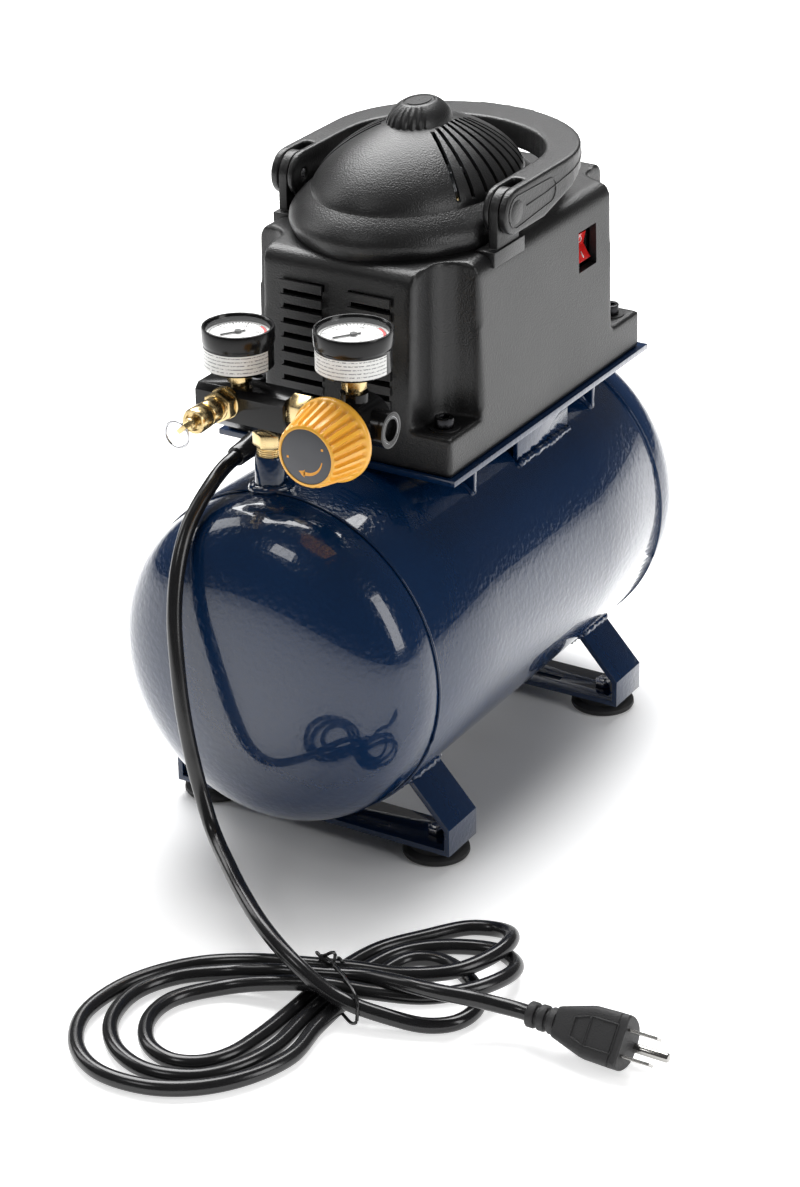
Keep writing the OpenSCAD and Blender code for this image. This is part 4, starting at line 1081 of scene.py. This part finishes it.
def make_knob():
    """Fluted knob with its printed disc: a curved arrow and two dots."""
    place = (KNOB_X, KNOB_Y, LINE_Z)
    rows = [(9, 0), (21.0, 0), (21.8, 0.7), (21.8, 3.2), (21.0, 4.0), (20.7, 4.4), (20.4, 5.2),
            (19.6, 9.6), (18.6, 14.8), (17.7, 19.6), (16.9, 23.6), (16.5, 24.6), (15.9, 25.6),
            (15.2, 26.1), (14.3, 26.1), (14.2, 25.4), (3, 25.3)]
    turned("knob_moulding", rows, place, FORWARD, YELLOW, ["regulator_knob"], "knob", sides=312,
           ribs=26, rib_depth=1.7, ribbed=(4.3, 24.8), sharp=60)
    turned("knob_disc_print", [(3, 24.6), (14.15, 24.6), (14.15, 25.75), (13.8, DISC_OUT),
           (3, DISC_OUT)], place, FORWARD, DISC, ["knob_disc"], "knob", sides=96)

    def spot(r, a):
        t = math.radians(a)
        return Vector((KNOB_X + r * math.cos(t), KNOB_Y - DISC_OUT, LINE_Z + r * math.sin(t)))

    def mark(name, points, width):
        return stroke(name, points, width, PRINT_LIFT, PRINT, "knob", FORWARD)
    arc = [spot(9.0, a) for a in range(-8, -101, -4)]
    sweep = mark("knob_arrow", arc, [0.5 + 1.5 * k / (len(arc) - 1) for k in range(len(arc))])
    tip = mark("knob_arrow_tip", [spot(9.0, -96), spot(9.1, -104), spot(9.2, -118)],
               [4.2, 2.6, 0.1])
    half_dot = Vector((0.6, 0, 0))
    dots = [mark(f"knob_dot_{k}", [spot(10.6, a) - half_dot, spot(10.6, a) + half_dot], 1.2)
            for k, a in enumerate((30, 190))]
    join(sweep, [tip, *dots], "knob_print")


def make_relief():
    """Relief valve: shoulder, hexagon, grooved barrel and the stem."""
    turned("relief_shoulder", [(3, -1), (8.4, -1), (8.4, 1.2), (7.6, 1.6), (3, 1.6)], RELIEF_AT,
           FORWARD, BRASS, sides=40)
    brass_hex("relief_hex", RELIEF_AT, FORWARD, 15, 1.2, 7.6)
    rows = [(3, 7), (6.6, 7), (6.2, 8.2), (5.0, 8.6), (5.0, 10.2), (6.1, 10.6), (6.3, 11.2),
            (6.3, 17.4), (6.0, 18), (5.2, 18.3), (5.2, 19.2), (6.2, 19.6), (6.7, 20.4),
            (6.7, 27.6), (6.2, 28.8), (5.4, 29.0), (4.6, 28.9), (4.4, 27.5), (2.3, 27.4)]
    turned("relief_barrel", rows, RELIEF_AT, FORWARD, BRASS, ["relief_body"])
    eased("relief_stem", BRASS, 0.25, 2)


def make_gland():
    """The rubber sleeve the lead leaves the saddle through, sloping down a little."""
    rows = [(5, -2), (7.6, -2), (7.9, -1), (7.9, 1.5), (7.2, 2.2), (6.9, 6), (6.9, 14), (6.4, 15),
            (6.2, 20), (6.5, 20.6), (6.0, 21.4), (5.9, 28), (5.5, 34), (5.3, 41.5), (4.9, 42.3),
            (4.05, 42.4)]
    turned("gland", rows, (-37, -71, 214.6), (0, -0.99756, -0.06976), LEAD, ["strain_relief"],
           sides=48)


make_manifold()
make_outlet()
make_knob()
make_relief()
make_gland()

for sub in frame["record"]["subparts"]:
    if not frame_node(sub["node"]).hide_render:
        node_paint(sub["node"], PAINTS_OF_SLOT[sub["material_slot"]][0])


# ------------------------------------------------------------------ stage
FLOOR_GREY, GLOW_FROM, GLOW_TO, GLOW_MOST = 0.84, 0.1, 0.28, 0.64
WORLD_LIGHT, WORLD_STRENGTH = (1.0, 0.99, 0.975, 1), 0.1
# name, place, point it faces, width, height, watts
LAMPS = [("top", (-0.6, 0.85, 1.85), (0.0, 0.0, 0.25), 1.9, 1.5, 86),
         ("right", (2.0, -0.1, 1.0), (0.0, 0.0, 0.15), 0.7, 1.3, 13),
         ("front", (-0.5, -1.8, 2.2), (0.0, 0.0, 0.15), 0.6, 0.6, 6),
         ("left", (-1.8, -0.3, 1.3), (0.0, 0.0, 0.2), 0.6, 1.3, 9)]


def make_floor():
    """A pale floor that glows white away from the machine, so that only its shadow stays."""
    ground = Paint("floor_white", Base_Color=(FLOOR_GREY, FLOOR_GREY, FLOOR_GREY, 1),
                   Roughness=0.6, Emission_Strength=1.0)
    x, y, _ = ground.parts()
    along = y + 0.02
    far = ground.node("ShaderNodeMath", {"operation": "SQRT"},
                      {0: 2.6 * x * x + 0.8 * along * along})
    glow = ground.node("ShaderNodeMapRange", {"interpolation_type": "SMOOTHSTEP"},
                       {"Value": far, "From Min": GLOW_FROM, "From Max": GLOW_TO, "To Min": 0.0,
                        "To Max": GLOW_MOST})
    ground.set(Emission_Color=ground.mix(glow, (0, 0, 0, 1), (1, 1, 1, 1)))
    bpy.ops.mesh.primitive_plane_add(size=14, location=(0, 0, -0.0004))
    floor = bpy.context.object
    floor.name = "floor"
    floor.data.materials.append(ground.material)


def make_lights():
    scene = bpy.context.scene
    scene.view_settings.view_transform = "Standard"
    world = bpy.data.worlds.new("studio")
    world.use_nodes = True
    background = world.node_tree.nodes["Background"]
    background.inputs["Color"].default_value = WORLD_LIGHT
    background.inputs["Strength"].default_value = WORLD_STRENGTH
    scene.world = world
    for name, where, at, width, height, power in LAMPS:
        data = bpy.data.lights.new(name, "AREA")
        data.shape, data.size, data.size_y, data.energy = "RECTANGLE", width, height, power
        lamp = bpy.data.objects.new(name, data)
        lamp.location = where
        lamp.rotation_mode = "QUATERNION"
        lamp.rotation_quaternion = (Vector(at) - Vector(where)).to_track_quat("-Z", "Y")
        scene.collection.objects.link(lamp)


make_floor()
make_lights()
